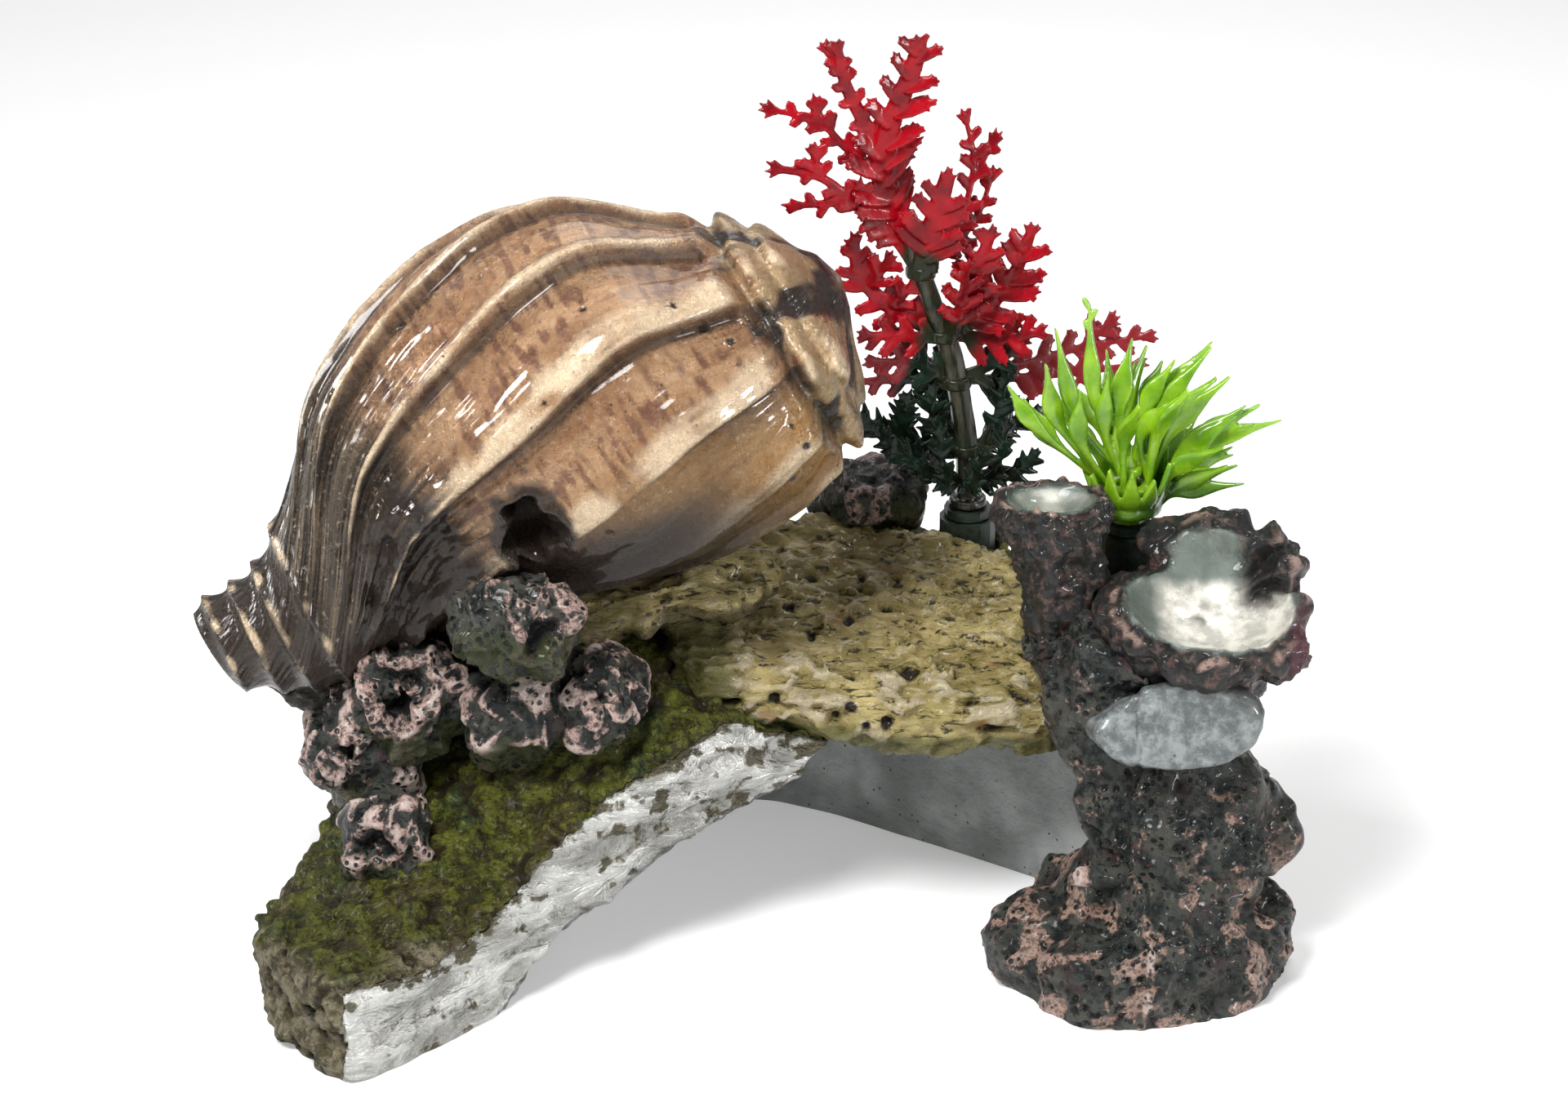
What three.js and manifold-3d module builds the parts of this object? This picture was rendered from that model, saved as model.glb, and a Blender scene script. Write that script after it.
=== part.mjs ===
// Bubbling aquarium ornament: a cast rock cave with a harp shell on its roof, corals,
// a driftwood bridge, two push-in plastic plants and the air parts that feed the shell's mouth.
// Millimetres, +Z up, +X along the cave mouth, -Y out of the cave mouth.
// Each piece is shaped whole, and the piece that it is bedded in is then cut back around it.

import * as THREE from 'three';
import { mergeVertices } from 'three/addons/utils/BufferGeometryUtils.js';
import Module from 'manifold-3d';

const wasm = await Module();
wasm.setup();

// ---- Driving dimensions ------------------------------------------------------------------

const SEAT_GAP = 0.3;      // clearance between two pieces that are bedded together
const SHELL_CHORD = 0.7;   // how far flat facets of the shell's bed cut inside its round
const LUMP_WAVES = 3;      // how many swells go round a lump of coral or mortar
const FLOOR_REACH = 6;     // how far cutting shapes run past the underside
const SKY = 90;            // above every rock surface

const ROCK = { left: -76, right: 60, front: -42, back: 62, cell: 8 };

// Outline of the rock seen from above, front foot first, then up the left side and round the back.
const ROCK_OUTLINE = [
  [-54, -36], [-61, -29], [-66, -21], [-68.5, -12], [-66, -4], [-61.5, 3], [-59, 11], [-57.5, 24],
  [-50, 40], [-34, 52], [-8, 57], [10, 56], [26, 51], [40, 42], [52, 30], [54, 18], [46, 11],
  [34, 10], [18, 11], [8, 7], [-3, 2.5], [-12, -2.5], [-20, -6.5], [-31, -13.5], [-36, -18.5],
  [-44, -27],
];

// Heights of the mossy top of the rock at places that shape it: x, y, height.
const ROCK_HEIGHTS = [
  [-54, -36, 15], [-62, -27, 15], [-69, -12, 11], [-43, -29, 13], [-36, -21, 14],
  [-31, -15, 17], [-25, -11, 23], [-20, -8, 28], [-12, -4, 32], [-3, 1, 35], [8, 6, 31],
  [-67, -4, 12], [-61, 5, 19], [-58, 12, 24], [-50, 20, 34], [-58, 22, 22], [-52, 36, 22],
  [-48, 0, 21], [-37, 5, 31], [-26, 10, 40], [-18, 10, 40], [-4, 12, 39], [-6, 25, 43],
  [-40, 22, 40], [-24, 26, 44], [-46, 38, 28], [-24, 50, 34], [0, 52, 41], [20, 50, 42],
  [32, 45, 42], [46, 32, 42], [18, 12, 30], [40, 20, 34], [54, 20, 40],
];

// Outline of the cave on the floor, from the front foot round the back to the open front.
const CAVE_OUTLINE = [
  [-37, -18.5], [-43, -8], [-49, 6], [-49, 20], [-42, 33], [-24, 44], [2, 45], [20, 34.5],
  [32, 26.5], [44, 17.5], [50, 9], [56, -10], [50, -60], [-10, -60], [-30, -36],
];

// Heights of the cave's smooth ceiling: x, y, height.
const CAVE_HEIGHTS = [
  [-37, -18.5, 0], [-31, -12.5, 7], [-20, -5.5, 11], [-9, 0.5, 17], [2, 6, 22], [18, 11, 32],
  [34, 8, 36], [-44, -4, 6], [-48, 14, 13], [-42, 28, 17], [-32, 10, 27], [-25, 28, 32],
  [-26, 42, 23], [-6, 22, 35], [0, 42, 26], [12, 24, 38], [20, 33, 27], [34, 24, 27],
  [44, 16, 26], [-4, -20, 10], [20, -20, 30],
];

const SHELL = {
  canalEnd: new THREE.Vector3(-74.3, 6, 44.3),   // middle of the blunt canal end
  spire: new THREE.Vector3(9, 22, 94),       // top of the low spire
  crown: new THREE.Vector3(0, 0.42, 0.91),   // the side of the shell that faces up and back
  ribs: 11,
  ribHeight: 2.2,
  ribPhase: 18.5,                            // degrees from the crown to the first rib
  ribTwist: 70,                              // degrees that a rib turns along the whole shell
  shoulder: 0.88,                            // where the ribs end in knobs
  samplesPerRib: 4,
  rings: 13,
};

// Sections of the shell: place along the axis from 0 to 1, radius, shift towards the crown.
const SHELL_SECTIONS = [
  [0, 5.6, 0], [0.12, 9.4, -3], [0.2, 13.3, -0.3], [0.3, 19.2, 3.9], [0.4, 22.8, 5.3],
  [0.55, 27.6, 3.8], [0.65, 28.8, 2.5], [0.75, 27.2, 0.3], [0.82, 23.7, -2.7], [0.89, 19.2, -4.5],
  [0.94, 14.6, -4.2], [0.97, 10, -3.2], [1, 4.4, -2.3],
];

const CHIMNEY = { x: -32, y: 10, radius: 4.2 };   // the way up for the bubbles
const STONE = { radius: 3.7, bottom: 24, top: 37 };
const AIRLINE = { radius: 3, bore: 2 };           // 6/4 mm silicone airline
const INLET = { x: -24, z: 15, wallInside: 43, wallOutside: 56.5 };

const BRIDGE = { thickness: 8.5, cornerShare: 0.28 };
// Sections of the driftwood plank: x, front y, back y, top height at the front and at the back.
const BRIDGE_SECTIONS = [
  [-12, 12, 34, 43, 46], [-6, 7, 39, 41, 47], [4, 6, 43, 39, 48], [14, 5, 44, 37.5, 47],
  [26, 5, 43, 36.5, 45], [38, 5, 40, 36.5, 42], [46, 9, 34, 35, 39],
];

// Sections of the coral column, floor first: height, centre x and y, half widths in x and y.
const COLUMN_SECTIONS = [
  [0, 52.5, -5, 19.5, 16], [4, 52.5, -5, 21, 17], [9, 53.5, -5, 19.5, 16.5],
  [14, 54.5, -3, 17, 14.5], [19, 56, -1, 14, 11.5], [27, 56, 2, 12.5, 11],
  [35, 54, 4, 13.5, 12.5], [43, 53.5, 6, 16.5, 15], [48, 54, 8, 17, 15], [51, 56, 10, 15, 13],
];

const PLANT = { x: 30, y: 46, socketTop: 46, socketDepth: 9, plugRadius: 2.2 };
const TUFT = { x: 51, y: 19, socketTop: 56, socketDepth: 8, plugRadius: 2 };

// Middle line of the red plant's stem from its plug to the crown, and its radii along it.
const STEM_PATH = [[30, 46, 48.2], [29.5, 45, 58], [27.2, 43, 72], [24, 40.5, 82], [21, 38, 92]];
const STEM_RADII = [1.9, 1.7, 1.6, 1.4, 1.2];
const FROND_THICKNESS = 1.1;
const DARK_LEAVES_BELOW = 72;      // whorls above this height are crimson

// ---- Solids ------------------------------------------------------------------------------

function toSolid(geometry) {
  const bare = geometry.clone();
  bare.deleteAttribute('normal');
  bare.deleteAttribute('uv');
  const merged = mergeVertices(bare, 1e-4);
  const vertProperties = new Float32Array(merged.attributes.position.array);
  const triVerts = new Uint32Array(merged.index.array);
  return new wasm.Manifold(new wasm.Mesh({ numProp: 3, vertProperties, triVerts }));
}

function toGeometry(solid) {
  const mesh = solid.getMesh();
  const geometry = new THREE.BufferGeometry();
  geometry.setAttribute('position', new THREE.BufferAttribute(mesh.vertProperties, 3));
  geometry.setIndex(new THREE.BufferAttribute(mesh.triVerts, 1));
  return geometry;
}

function largestPiece(solid) {
  return solid.decompose().sort((a, b) => b.volume() - a.volume())[0];
}

function cut(solid, ...tools) {
  return tools.flat().reduce((rest, tool) => rest.subtract(tool), solid);
}

function join(...solids) {
  return solids.flat().reduce((whole, solid) => whole.add(solid));
}

// A closed solid through rings with the same number of points, with a fan over each end.
function loft(rings) {
  const sides = rings[0].length;
  const points = rings.flat();
  const triangles = [];
  for (let ring = 0; ring + 1 < rings.length; ring++) {
    for (let side = 0; side < sides; side++) {
      const here = ring * sides + side;
      const next = ring * sides + (side + 1) % sides;
      triangles.push(here, next, next + sides, here, next + sides, here + sides);
    }
  }
  const middle = (ring) => {
    const sum = ring.reduce((total, point) => total.add(point), new THREE.Vector3());
    return sum.divideScalar(sides);
  };
  const lastRing = (rings.length - 1) * sides;
  const firstHub = points.push(middle(rings[0])) - 1;
  const lastHub = points.push(middle(rings.at(-1))) - 1;
  for (let side = 0; side < sides; side++) {
    const next = (side + 1) % sides;
    triangles.push(firstHub, next, side);
    triangles.push(lastHub, lastRing + side, lastRing + next);
  }
  const geometry = new THREE.BufferGeometry().setFromPoints(points);
  geometry.setIndex(triangles);
  return toSolid(geometry);
}

// A round or flattened rod along a smooth path, with radii spaced evenly along it.
function rod(path, radii, { sides = 8, steps = 10, flat = 1, reference = [0.2, 1, 0.1] } = {}) {
  const curve = new THREE.CatmullRomCurve3(path.map((point) => new THREE.Vector3(...point)));
  const steady = new THREE.Vector3(...reference);
  const radiusAt = (share) => {
    const place = share * (radii.length - 1);
    const before = Math.min(Math.floor(place), radii.length - 2);
    return THREE.MathUtils.lerp(radii[before], radii[before + 1], place - before);
  };
  const rings = [];
  for (let step = 0; step <= steps; step++) {
    const share = step / steps;
    const centre = curve.getPoint(share);
    const along = curve.getTangent(share);
    const across = new THREE.Vector3().crossVectors(steady, along).normalize();
    const over = new THREE.Vector3().crossVectors(along, across);
    const ring = [];
    for (let side = 0; side < sides; side++) {
      const angle = (side / sides) * 2 * Math.PI;
      ring.push(centre.clone()
        .addScaledVector(across, radiusAt(share) * Math.cos(angle))
        .addScaledVector(over, radiusAt(share) * flat * Math.sin(angle)));
    }
    rings.push(ring);
  }
  return loft(rings);
}

// A solid of revolution about +Z whose closed profile is listed as radius, height.
function turned(profile, segments = 24) {
  const points = profile.map(([radius, height]) => new THREE.Vector2(radius, height));
  const closed = points[0].x > 0 ? [...points, points[0].clone()] : points;
  const geometry = new THREE.LatheGeometry(closed, segments);
  geometry.rotateX(Math.PI / 2);
  const solid = toSolid(geometry);
  return solid.volume() < 0 ? toSolid(flipped(geometry)) : solid;
}

function flipped(geometry) {
  const index = geometry.index.array;
  for (let corner = 0; corner < index.length; corner += 3) {
    [index[corner], index[corner + 1]] = [index[corner + 1], index[corner]];
  }
  return geometry;
}

// A lumpy ellipsoid. The lumps are three crossed waves, so the same seed gives the same rock.
function lump(at, halfSizes, { seed = 0, rough = 0.12, detail = 2, grow = 0 } = {}) {
  const geometry = new THREE.IcosahedronGeometry(1, detail);
  const position = geometry.attributes.position;
  const point = new THREE.Vector3();
  for (let index = 0; index < position.count; index++) {
    point.fromBufferAttribute(position, index).normalize();
    const swell = Math.sin(LUMP_WAVES * point.x + seed) * Math.sin(LUMP_WAVES * point.y + 2 * seed)
      + Math.sin(LUMP_WAVES * point.z + 3 * seed) * Math.sin(LUMP_WAVES * point.x - seed);
    const reach = 1 + rough * swell;
    position.setXYZ(
      index,
      at[0] + point.x * (halfSizes[0] * reach + grow),
      at[1] + point.y * (halfSizes[1] * reach + grow),
      at[2] + point.z * (halfSizes[2] * reach + grow),
    );
  }
  return toSolid(geometry);
}

// An upright wall of an outline seen from above, smoothed through its points.
function prism(outline, bottom, top, samples) {
  const loop = outline.map(([x, y]) => new THREE.Vector3(x, y, 0));
  const curve = new THREE.CatmullRomCurve3(loop, true, 'centripetal');
  const points = curve.getPoints(samples).slice(0, -1);
  const shape = new THREE.Shape(points.map((point) => new THREE.Vector2(point.x, point.y)));
  const geometry = new THREE.ExtrudeGeometry(shape, { depth: top - bottom, bevelEnabled: false });
  geometry.translate(0, 0, bottom);
  return toSolid(geometry);
}

function heightAt(places, x, y) {
  let total = 0;
  let weights = 0;
  for (const [px, py, height] of places) {
    const weight = 1 / ((x - px) ** 2 + (y - py) ** 2 + 4) ** 1.7;
    total += weight * height;
    weights += weight;
  }
  return total / weights;
}

// A block whose top follows the given heights.
function terrain(places, cell) {
  const width = ROCK.right - ROCK.left;
  const depth = ROCK.back - ROCK.front;
  const geometry = new THREE.BoxGeometry(
    width, depth, 1, Math.round(width / cell), Math.round(depth / cell), 1,
  );
  geometry.translate((ROCK.left + ROCK.right) / 2, (ROCK.front + ROCK.back) / 2, 0);
  const position = geometry.attributes.position;
  for (let index = 0; index < position.count; index++) {
    const top = heightAt(places, position.getX(index), position.getY(index));
    position.setZ(index, position.getZ(index) > 0 ? top : -FLOOR_REACH);
  }
  return toSolid(geometry);
}

// ---- The harp shell ----------------------------------------------------------------------

function shellFrame() {
  const along = SHELL.spire.clone().sub(SHELL.canalEnd);
  const length = along.length();
  along.normalize();
  const crown = SHELL.crown.clone().addScaledVector(along, -SHELL.crown.dot(along)).normalize();
  const face = new THREE.Vector3().crossVectors(along, crown);
  return { along, length, crown, face };
}

function ribSwell(share) {
  const rise = THREE.MathUtils.smoothstep(share, 0.15, 0.4);
  const knob = Math.exp(-(((share - SHELL.shoulder) / 0.03) ** 2));
  const fade = 1 - THREE.MathUtils.smoothstep(share, SHELL.shoulder, 0.98);
  return SHELL.ribHeight * (rise * fade + 0.5 * knob);
}

// Without its ribs, and grown, the same form is the smooth bed that the shell lies in.
function harpShell(grow = 0, ribbed = true) {
  const { along, length, crown, face } = shellFrame();
  const sections = SHELL_SECTIONS.map((section) => new THREE.Vector3(...section));
  const curve = new THREE.CatmullRomCurve3(sections, false, 'centripetal');
  const samples = SHELL.ribs * (ribbed ? SHELL.samplesPerRib : 2);
  const steps = ribbed ? SHELL.rings : 11;
  const rings = [];
  for (let step = 0; step <= steps; step++) {
    const { x: share, y: radius, z: shift } = curve.getPoint(step / steps);
    const swell = ribbed ? ribSwell(share) : 0;
    const bend = 900 * Math.max(0, 0.36 - share) ** 2;
    const start = SHELL.ribPhase + SHELL.ribTwist * (0.75 - share) + bend;
    const overrun = share <= 0 ? -grow : share >= 1 ? grow : 0;
    const centre = SHELL.canalEnd.clone()
      .addScaledVector(along, share * length + overrun)
      .addScaledVector(crown, shift);
    const ring = [];
    for (let sample = 0; sample < samples; sample++) {
      const onRib = sample % SHELL.samplesPerRib === 0;
      const angle = THREE.MathUtils.degToRad(start + (360 * sample) / samples);
      const reach = radius - swell * (onRib ? 0 : 1) + grow;
      ring.push(centre.clone()
        .addScaledVector(crown, reach * Math.cos(angle))
        .addScaledVector(face, reach * Math.sin(angle)));
    }
    rings.push(ring);
  }
  return loft(rings);
}

// The way of the bubbles: up the chimney in the roof, into the shell and out of its mouth.
function bubblePassage() {
  const { x, y, radius } = CHIMNEY;
  const path = [
    [x, y, 18], [x, y, 34], [x, y, 46], [x, 8, 54], [x, 1, 60], [x, -8, 65], [x, -18, 70],
  ];
  return rod(path, [radius, radius], { sides: 14, steps: 16, reference: [1, 0, 0] });
}

// ---- The rock and what is bedded on it -----------------------------------------------------

function rockBase() {
  const outside = terrain(ROCK_HEIGHTS, ROCK.cell)
    .intersect(prism(ROCK_OUTLINE, 0, SKY, 44));
  const plantBoss = turned([[0, 0], [9, 0], [8, 20], [7, 42.5], [0, 42.5]], 14)
    .translate([PLANT.x, PLANT.y, 0]);
  const cave = terrain(CAVE_HEIGHTS, ROCK.cell)
    .intersect(prism(CAVE_OUTLINE, -FLOOR_REACH, SKY, 30));
  return cut(join(outside, plantBoss), cave);
}

function bridgeRing([x, front, back, frontTop, backTop], grow) {
  const corner = BRIDGE.cornerShare * BRIDGE.thickness;
  const edge = [
    [front + corner, 0], [front, -corner], [front, corner - BRIDGE.thickness],
    [front + corner, -BRIDGE.thickness], [(front + back) / 2, -BRIDGE.thickness],
    [back - corner, -BRIDGE.thickness], [back, corner - BRIDGE.thickness], [back, -corner],
    [back - corner, 0], [(front + back) / 2, 0.6],
  ];
  const middle = (front + back) / 2;
  return edge.map(([y, drop]) => {
    const slope = THREE.MathUtils.lerp(frontTop, backTop, (y - front) / (back - front));
    const outward = drop > -BRIDGE.thickness / 2 ? grow : -grow;
    return new THREE.Vector3(x, y + Math.sign(y - middle) * grow, slope + drop + outward);
  });
}

function driftwoodBridge(grow = 0) {
  return loft(BRIDGE_SECTIONS.map((section) => bridgeRing(section, grow)));
}

function shellBedding(grow = 0) {
  return join(
    lump([-55, 11, 38.5], [16, 9, 6.5], { seed: 1.3, detail: 1, grow }),
    lump([-34, 14, 44], [16, 10, 8], { seed: 2.1, detail: 1, grow }),
    lump([-12, 20, 48], [14, 11, 6.5], { seed: 0.4, detail: 1, grow }),
  );
}

function oval(height, x, y, halfX, halfY, sides, seed) {
  const ring = [];
  for (let side = 0; side < sides; side++) {
    const angle = (side / sides) * 2 * Math.PI;
    const uneven = 1 + 0.05 * Math.sin(3 * angle + seed) + 0.03 * Math.sin(5 * angle - seed);
    ring.push(new THREE.Vector3(
      x + halfX * uneven * Math.cos(angle), y + halfY * uneven * Math.sin(angle), height,
    ));
  }
  return ring;
}

function coralColumn(grow = 0) {
  const rings = COLUMN_SECTIONS.map(([height, x, y, halfX, halfY], index) =>
    oval(height, x, y, halfX + grow, halfY + grow, 16, index * 0.7));
  return join(
    loft(rings),
    lump([70.2, 1, 19], [5.2, 4.6, 6.5], { seed: 0.9, rough: 0.05, detail: 1, grow }),
  );
}

function sawnDisc(grow = 0) {
  const half = 2 + grow;
  const reach = 6.2 + grow;
  const disc = turned([[0, -half], [reach, -half], [reach, half - 0.6], [reach - 0.6, half],
    [0, half]], 18);
  return disc.scale([1.9, 1, 1]).rotate([62, 0, 4]).translate([56, -9.5, 40]);
}

function branchPeg(grow = 0) {
  const radius = 1.7 + grow;
  return rod([[50, -11, 18], [46, -13, 19], [43, -14, 19.5]], [radius, radius, radius * 0.8]);
}

function pearlCup(grow = 0, hollow = true) {
  const body = join(
    lump([60, 2, 50], [15, 13, 7.5], { seed: 1.9, rough: 0.05, grow }),
    lump([69.2, 9, 56.2], [6.2, 5, 5], { seed: 0.6, rough: 0.05, detail: 1, grow }),
    lump([69.9, -4, 48], [5.2, 4.4, 3.6], { seed: 2.6, rough: 0.05, detail: 1, grow }),
    lump([61.5, 11.5, 57.5], [9.5, 5, 4.8], { seed: 0.2, rough: 0.05, detail: 1, grow }),
  );
  if (!hollow) return body;
  const bowl = lump([0, 0, 0], [12.2, 10.5, 7], { rough: 0 })
    .rotate([32, 8, 0]).translate([61, -1, 57]);
  return body.subtract(bowl);
}

function smallCup(grow = 0, hollow = true) {
  const rings = [
    oval(45 - grow, 42, 8, 5 + grow, 5 + grow, 16, 0.3),
    oval(52, 42, 8, 6 + grow, 5.6 + grow, 16, 0.6),
    oval(58, 40.5, 9, 6.8 + grow, 5.4 + grow, 16, 0.9),
    oval(62.5, 40, 10, 8.4 + grow, 6.2 + grow, 16, 1.2),
    oval(65 + grow, 40, 10.5, 7.8 + grow, 5.6 + grow, 16, 1.5),
  ];
  const body = loft(rings);
  return hollow ? body.subtract(lump([40, 10, 65.8], [6, 4.4, 3.4], { rough: 0 })) : body;
}

// The knots of coral along the moss and behind the shell: place, half sizes, seed and a dimple in the front.
const LEFT_CORALS = {
  coral_double: [
    [[-32, 1, 38], [8, 7, 7.5], 0.4, [-36, -6, 42], 1.8],
    [[-22.5, 1, 39.5], [6.5, 6, 6.5], 1.6, [-21, -5.5, 41], 1.6],
  ],
  coral_by_mouth: [[[-33, -7, 54], [7.5, 5, 6], 2.2, [-30, -12, 56], 1.6]],
  coral_ring: [[[-48, 2, 38.5], [7.5, 5.5, 8], 0.9, [-48.5, -4, 41], 3.2]],
  coral_knobs: [[[-55, 4, 29.5], [7, 5.5, 8.5], 1.1, [-56, -2, 30.5], 1.5]],
  coral_behind: [[[15.5, 48, 50], [7.5, 6, 6.5], 1.4, [12, 43, 55], 1.6]],
  coral_low: [[[-51, -7, 21], [5.5, 5, 7.5], 2.9, [-51.5, -12, 22], 1.8]],
};

function leftCoral(name, grow = 0) {
  const lobes = LEFT_CORALS[name].map(([at, halfSizes, seed]) =>
    lump(at, halfSizes, { seed, rough: 0.1, detail: 1, grow }));
  if (grow > 0) return join(lobes);
  const dimples = LEFT_CORALS[name].map(([, , , at, radius]) =>
    lump(at, [radius, radius * 1.6, radius], { rough: 0, detail: 0 }));
  return cut(join(lobes), dimples);
}

// ---- Sockets and plants ----------------------------------------------------------------------

function socket({ x, y, socketTop, socketDepth, plugRadius }, grow = 0) {
  const bore = plugRadius + SEAT_GAP;
  const outside = bore + 1.6 + grow;
  const bottom = -socketDepth - 1.5 - grow;
  const profile = grow > 0
    ? [[0, bottom], [outside, bottom], [outside, grow], [0, grow]]
    : [[0, bottom], [outside, bottom], [outside, 0], [bore, 0], [bore, -socketDepth],
      [0, -socketDepth]];
  return turned(profile, 14).translate([x, y, socketTop]);
}

// A ribbed peg with a head that rests on the socket and a blind hole that the stem turns in.
function plug({ x, y, socketTop, socketDepth, plugRadius }) {
  const pinHole = plugRadius - 0.9;
  return turned([
    [0, 0.4 - socketDepth], [plugRadius - 0.4, 0.4 - socketDepth], [plugRadius, 1 - socketDepth],
    [plugRadius, SEAT_GAP], [plugRadius + 1.2, SEAT_GAP], [plugRadius + 1.2, 1.6],
    [pinHole, 1.6], [pinHole, -3], [0, -3],
  ], 12).translate([x, y, socketTop]);
}

// The pin under a stem, which turns in its plug, with a collar that rests on the plug's head.
function turningFoot({ x, y, socketTop, plugRadius }, collarHeight) {
  const pin = plugRadius - 0.9 - SEAT_GAP;
  return turned([
    [0, -2.6], [pin, -2.6], [pin, 1.9], [plugRadius + 0.6, 1.9],
    [plugRadius + 0.4, 1.9 + collarHeight], [0, 1.9 + collarHeight],
  ], 10).translate([x, y, socketTop]);
}

// A flat frond from root to tip with pointed lobes on both sides.
function frond(root, tip, width, lobes = 4) {
  const from = new THREE.Vector3(...root);
  const along = new THREE.Vector3(...tip).sub(from);
  const length = along.length();
  along.normalize();
  const outline = [];
  const side = (sign, lobe) => {
    const place = (lobe + 0.5) / (lobes + 0.5);
    const reach = (width / 2) * Math.sin(Math.PI * (0.15 + 0.8 * place));
    const stalk = 0.7;
    return [
      new THREE.Vector2(sign * stalk, length * (place - 0.5 / lobes)),
      new THREE.Vector2(sign * Math.max(reach, stalk + 0.3), length * (place + 0.16 / lobes)),
      new THREE.Vector2(sign * stalk, length * (place + 0.1 / lobes)),
    ];
  };
  outline.push(new THREE.Vector2(-0.7, 0), new THREE.Vector2(0.7, 0));
  for (let lobe = 0; lobe < lobes; lobe++) outline.push(...side(1, lobe));
  outline.push(new THREE.Vector2(0, length));
  for (let lobe = lobes - 1; lobe >= 0; lobe--) outline.push(...side(-1, lobe).reverse());
  const geometry = new THREE.ExtrudeGeometry(new THREE.Shape(outline), {
    depth: FROND_THICKNESS, bevelEnabled: false,
  });
  geometry.translate(0, 0, -FROND_THICKNESS / 2);
  const across = new THREE.Vector3().crossVectors(along, new THREE.Vector3(0, 1, 0.15)).normalize();
  const over = new THREE.Vector3().crossVectors(across, along);
  geometry.applyMatrix4(new THREE.Matrix4().makeBasis(across, along, over).setPosition(from));
  return toSolid(geometry);
}

function stemPoint(height) {
  const curve = new THREE.CatmullRomCurve3(STEM_PATH.map((point) => new THREE.Vector3(...point)));
  let best = curve.getPoint(0);
  for (let step = 0; step <= 60; step++) {
    const point = curve.getPoint(step / 60);
    if (Math.abs(point.z - height) < Math.abs(best.z - height)) best = point;
  }
  return best;
}

function stemRod(grow = 0) {
  const radii = STEM_RADII.map((radius) => radius + grow);
  return rod(STEM_PATH, radii, { steps: 9, reference: [0, 1, 0] });
}

function plantStem() {
  return join(stemRod(), turningFoot(PLANT, 1.2));
}

// A whorl is one moulding: a collar round the stem and fronds that leave it.
function whorl(height, tips, width) {
  const hub = stemPoint(height);
  const collar = turned([[0, -1.4], [2.9, -1.4], [2.7, 1.4], [0, 1.4]], 8)
    .translate(hub.toArray());
  const fronds = tips.map((tip) => frond(hub.toArray(), tip, width, 2));
  return largestPiece(join(collar, ...fronds).subtract(stemRod(SEAT_GAP)));
}

// Each whorl: height up the stem, tips of its fronds and the width of a frond.
const WHORLS = {
  red_upper_whorl: [86.5, [[0, 37, 112], [2, 34, 104], [7, 31, 100], [28, 48, 107], [34, 50, 102],
    [30, 27, 100]], 5],
  red_middle_whorl: [76, [[11, 43, 86], [14, 37, 80], [33, 33, 89], [42, 43, 86]], 7],
  red_lower_whorl: [68, [[15, 42, 76], [16, 44, 70], [37, 47, 74], [56, 50, 72]], 6],
  red_basal_whorl: [57, [[16, 45, 61], [22, 40, 66], [36, 46, 66], [40, 50, 60]], 6],
};

function crownFrond() {
  const top = stemPoint(STEM_PATH.at(-1)[2]);
  const root = [top.x, top.y, top.z + 3 * SEAT_GAP];
  return join(
    frond(root, [21.5, 31, 125], 11, 4),
    frond([20.5, 36, 99], [10, 32, 123.5], 3.4, 3),
    turned([[0, 0], [1.6, 0], [1.3, 3], [0, 3]], 10).translate(root),
  );
}

// Spindle leaves: each is a swelling rod that ends in a fine tip, on a ring round the stalk.
const TUFT_LAYERS = {
  tuft_inner_leaves: [8.4, 2.7, [[45, 20, 90], [40, 19, 87], [51, 22, 84], [48, 28, 80]]],
  tuft_middle_leaves: [5.8, 4, [[38, 14, 83], [33, 19, 78], [61, 25, 81], [58, 31, 76],
    [58, 14, 79]]],
  tuft_outer_leaves: [3.2, 5.3, [[66, 18, 75], [71, 22, 71], [65, 28, 68], [53, 35, 68],
    [40, 31, 71]]],
};

function spindleLeaf(root, tip) {
  const middle = root.map((value, axis) => (value + tip[axis]) / 2);
  middle[2] += 2.5;
  return rod([root, middle, tip], [0.6, 0.9, 1.7, 1.2, 0.2], {
    sides: 4, steps: 5, flat: 0.5, reference: [0.1, 1, 0.3],
  });
}

function leafLayer(height, reach, tips) {
  const { x, y, socketTop } = TUFT;
  const foot = socketTop + height;
  const bore = 1.5;
  const collar = turned([[bore, 0], [reach, 0], [reach - 0.3, 1.6], [bore, 1.6]], 10)
    .translate([x, y, foot]);
  const leaves = tips.map((tip) => {
    const way = new THREE.Vector2(tip[0] - x, tip[1] - y).normalize();
    const root = [x + (reach - 0.7) * way.x, y + (reach - 0.7) * way.y, foot + 0.8];
    return spindleLeaf(root, tip);
  });
  const clearance = turned([[0, -3], [bore, -3], [bore, 14], [0, 14]], 10)
    .translate([x, y, foot]);
  return largestPiece(cut(join(collar, ...leaves), clearance));
}

function tuftStalk() {
  const { x, y, socketTop } = TUFT;
  const stalk = turned([[0, 2.5], [1.1, 2.5], [1.1, 10], [0.5, 11], [0, 11]], 10)
    .translate([x, y, socketTop]);
  return join(turningFoot(TUFT, 1), stalk);
}

// ---- Air parts ---------------------------------------------------------------------------------

function alongInlet(profile) {
  return turned(profile, 14).rotate([-90, 0, 0]).translate([INLET.x, 0, INLET.z]);
}

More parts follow.
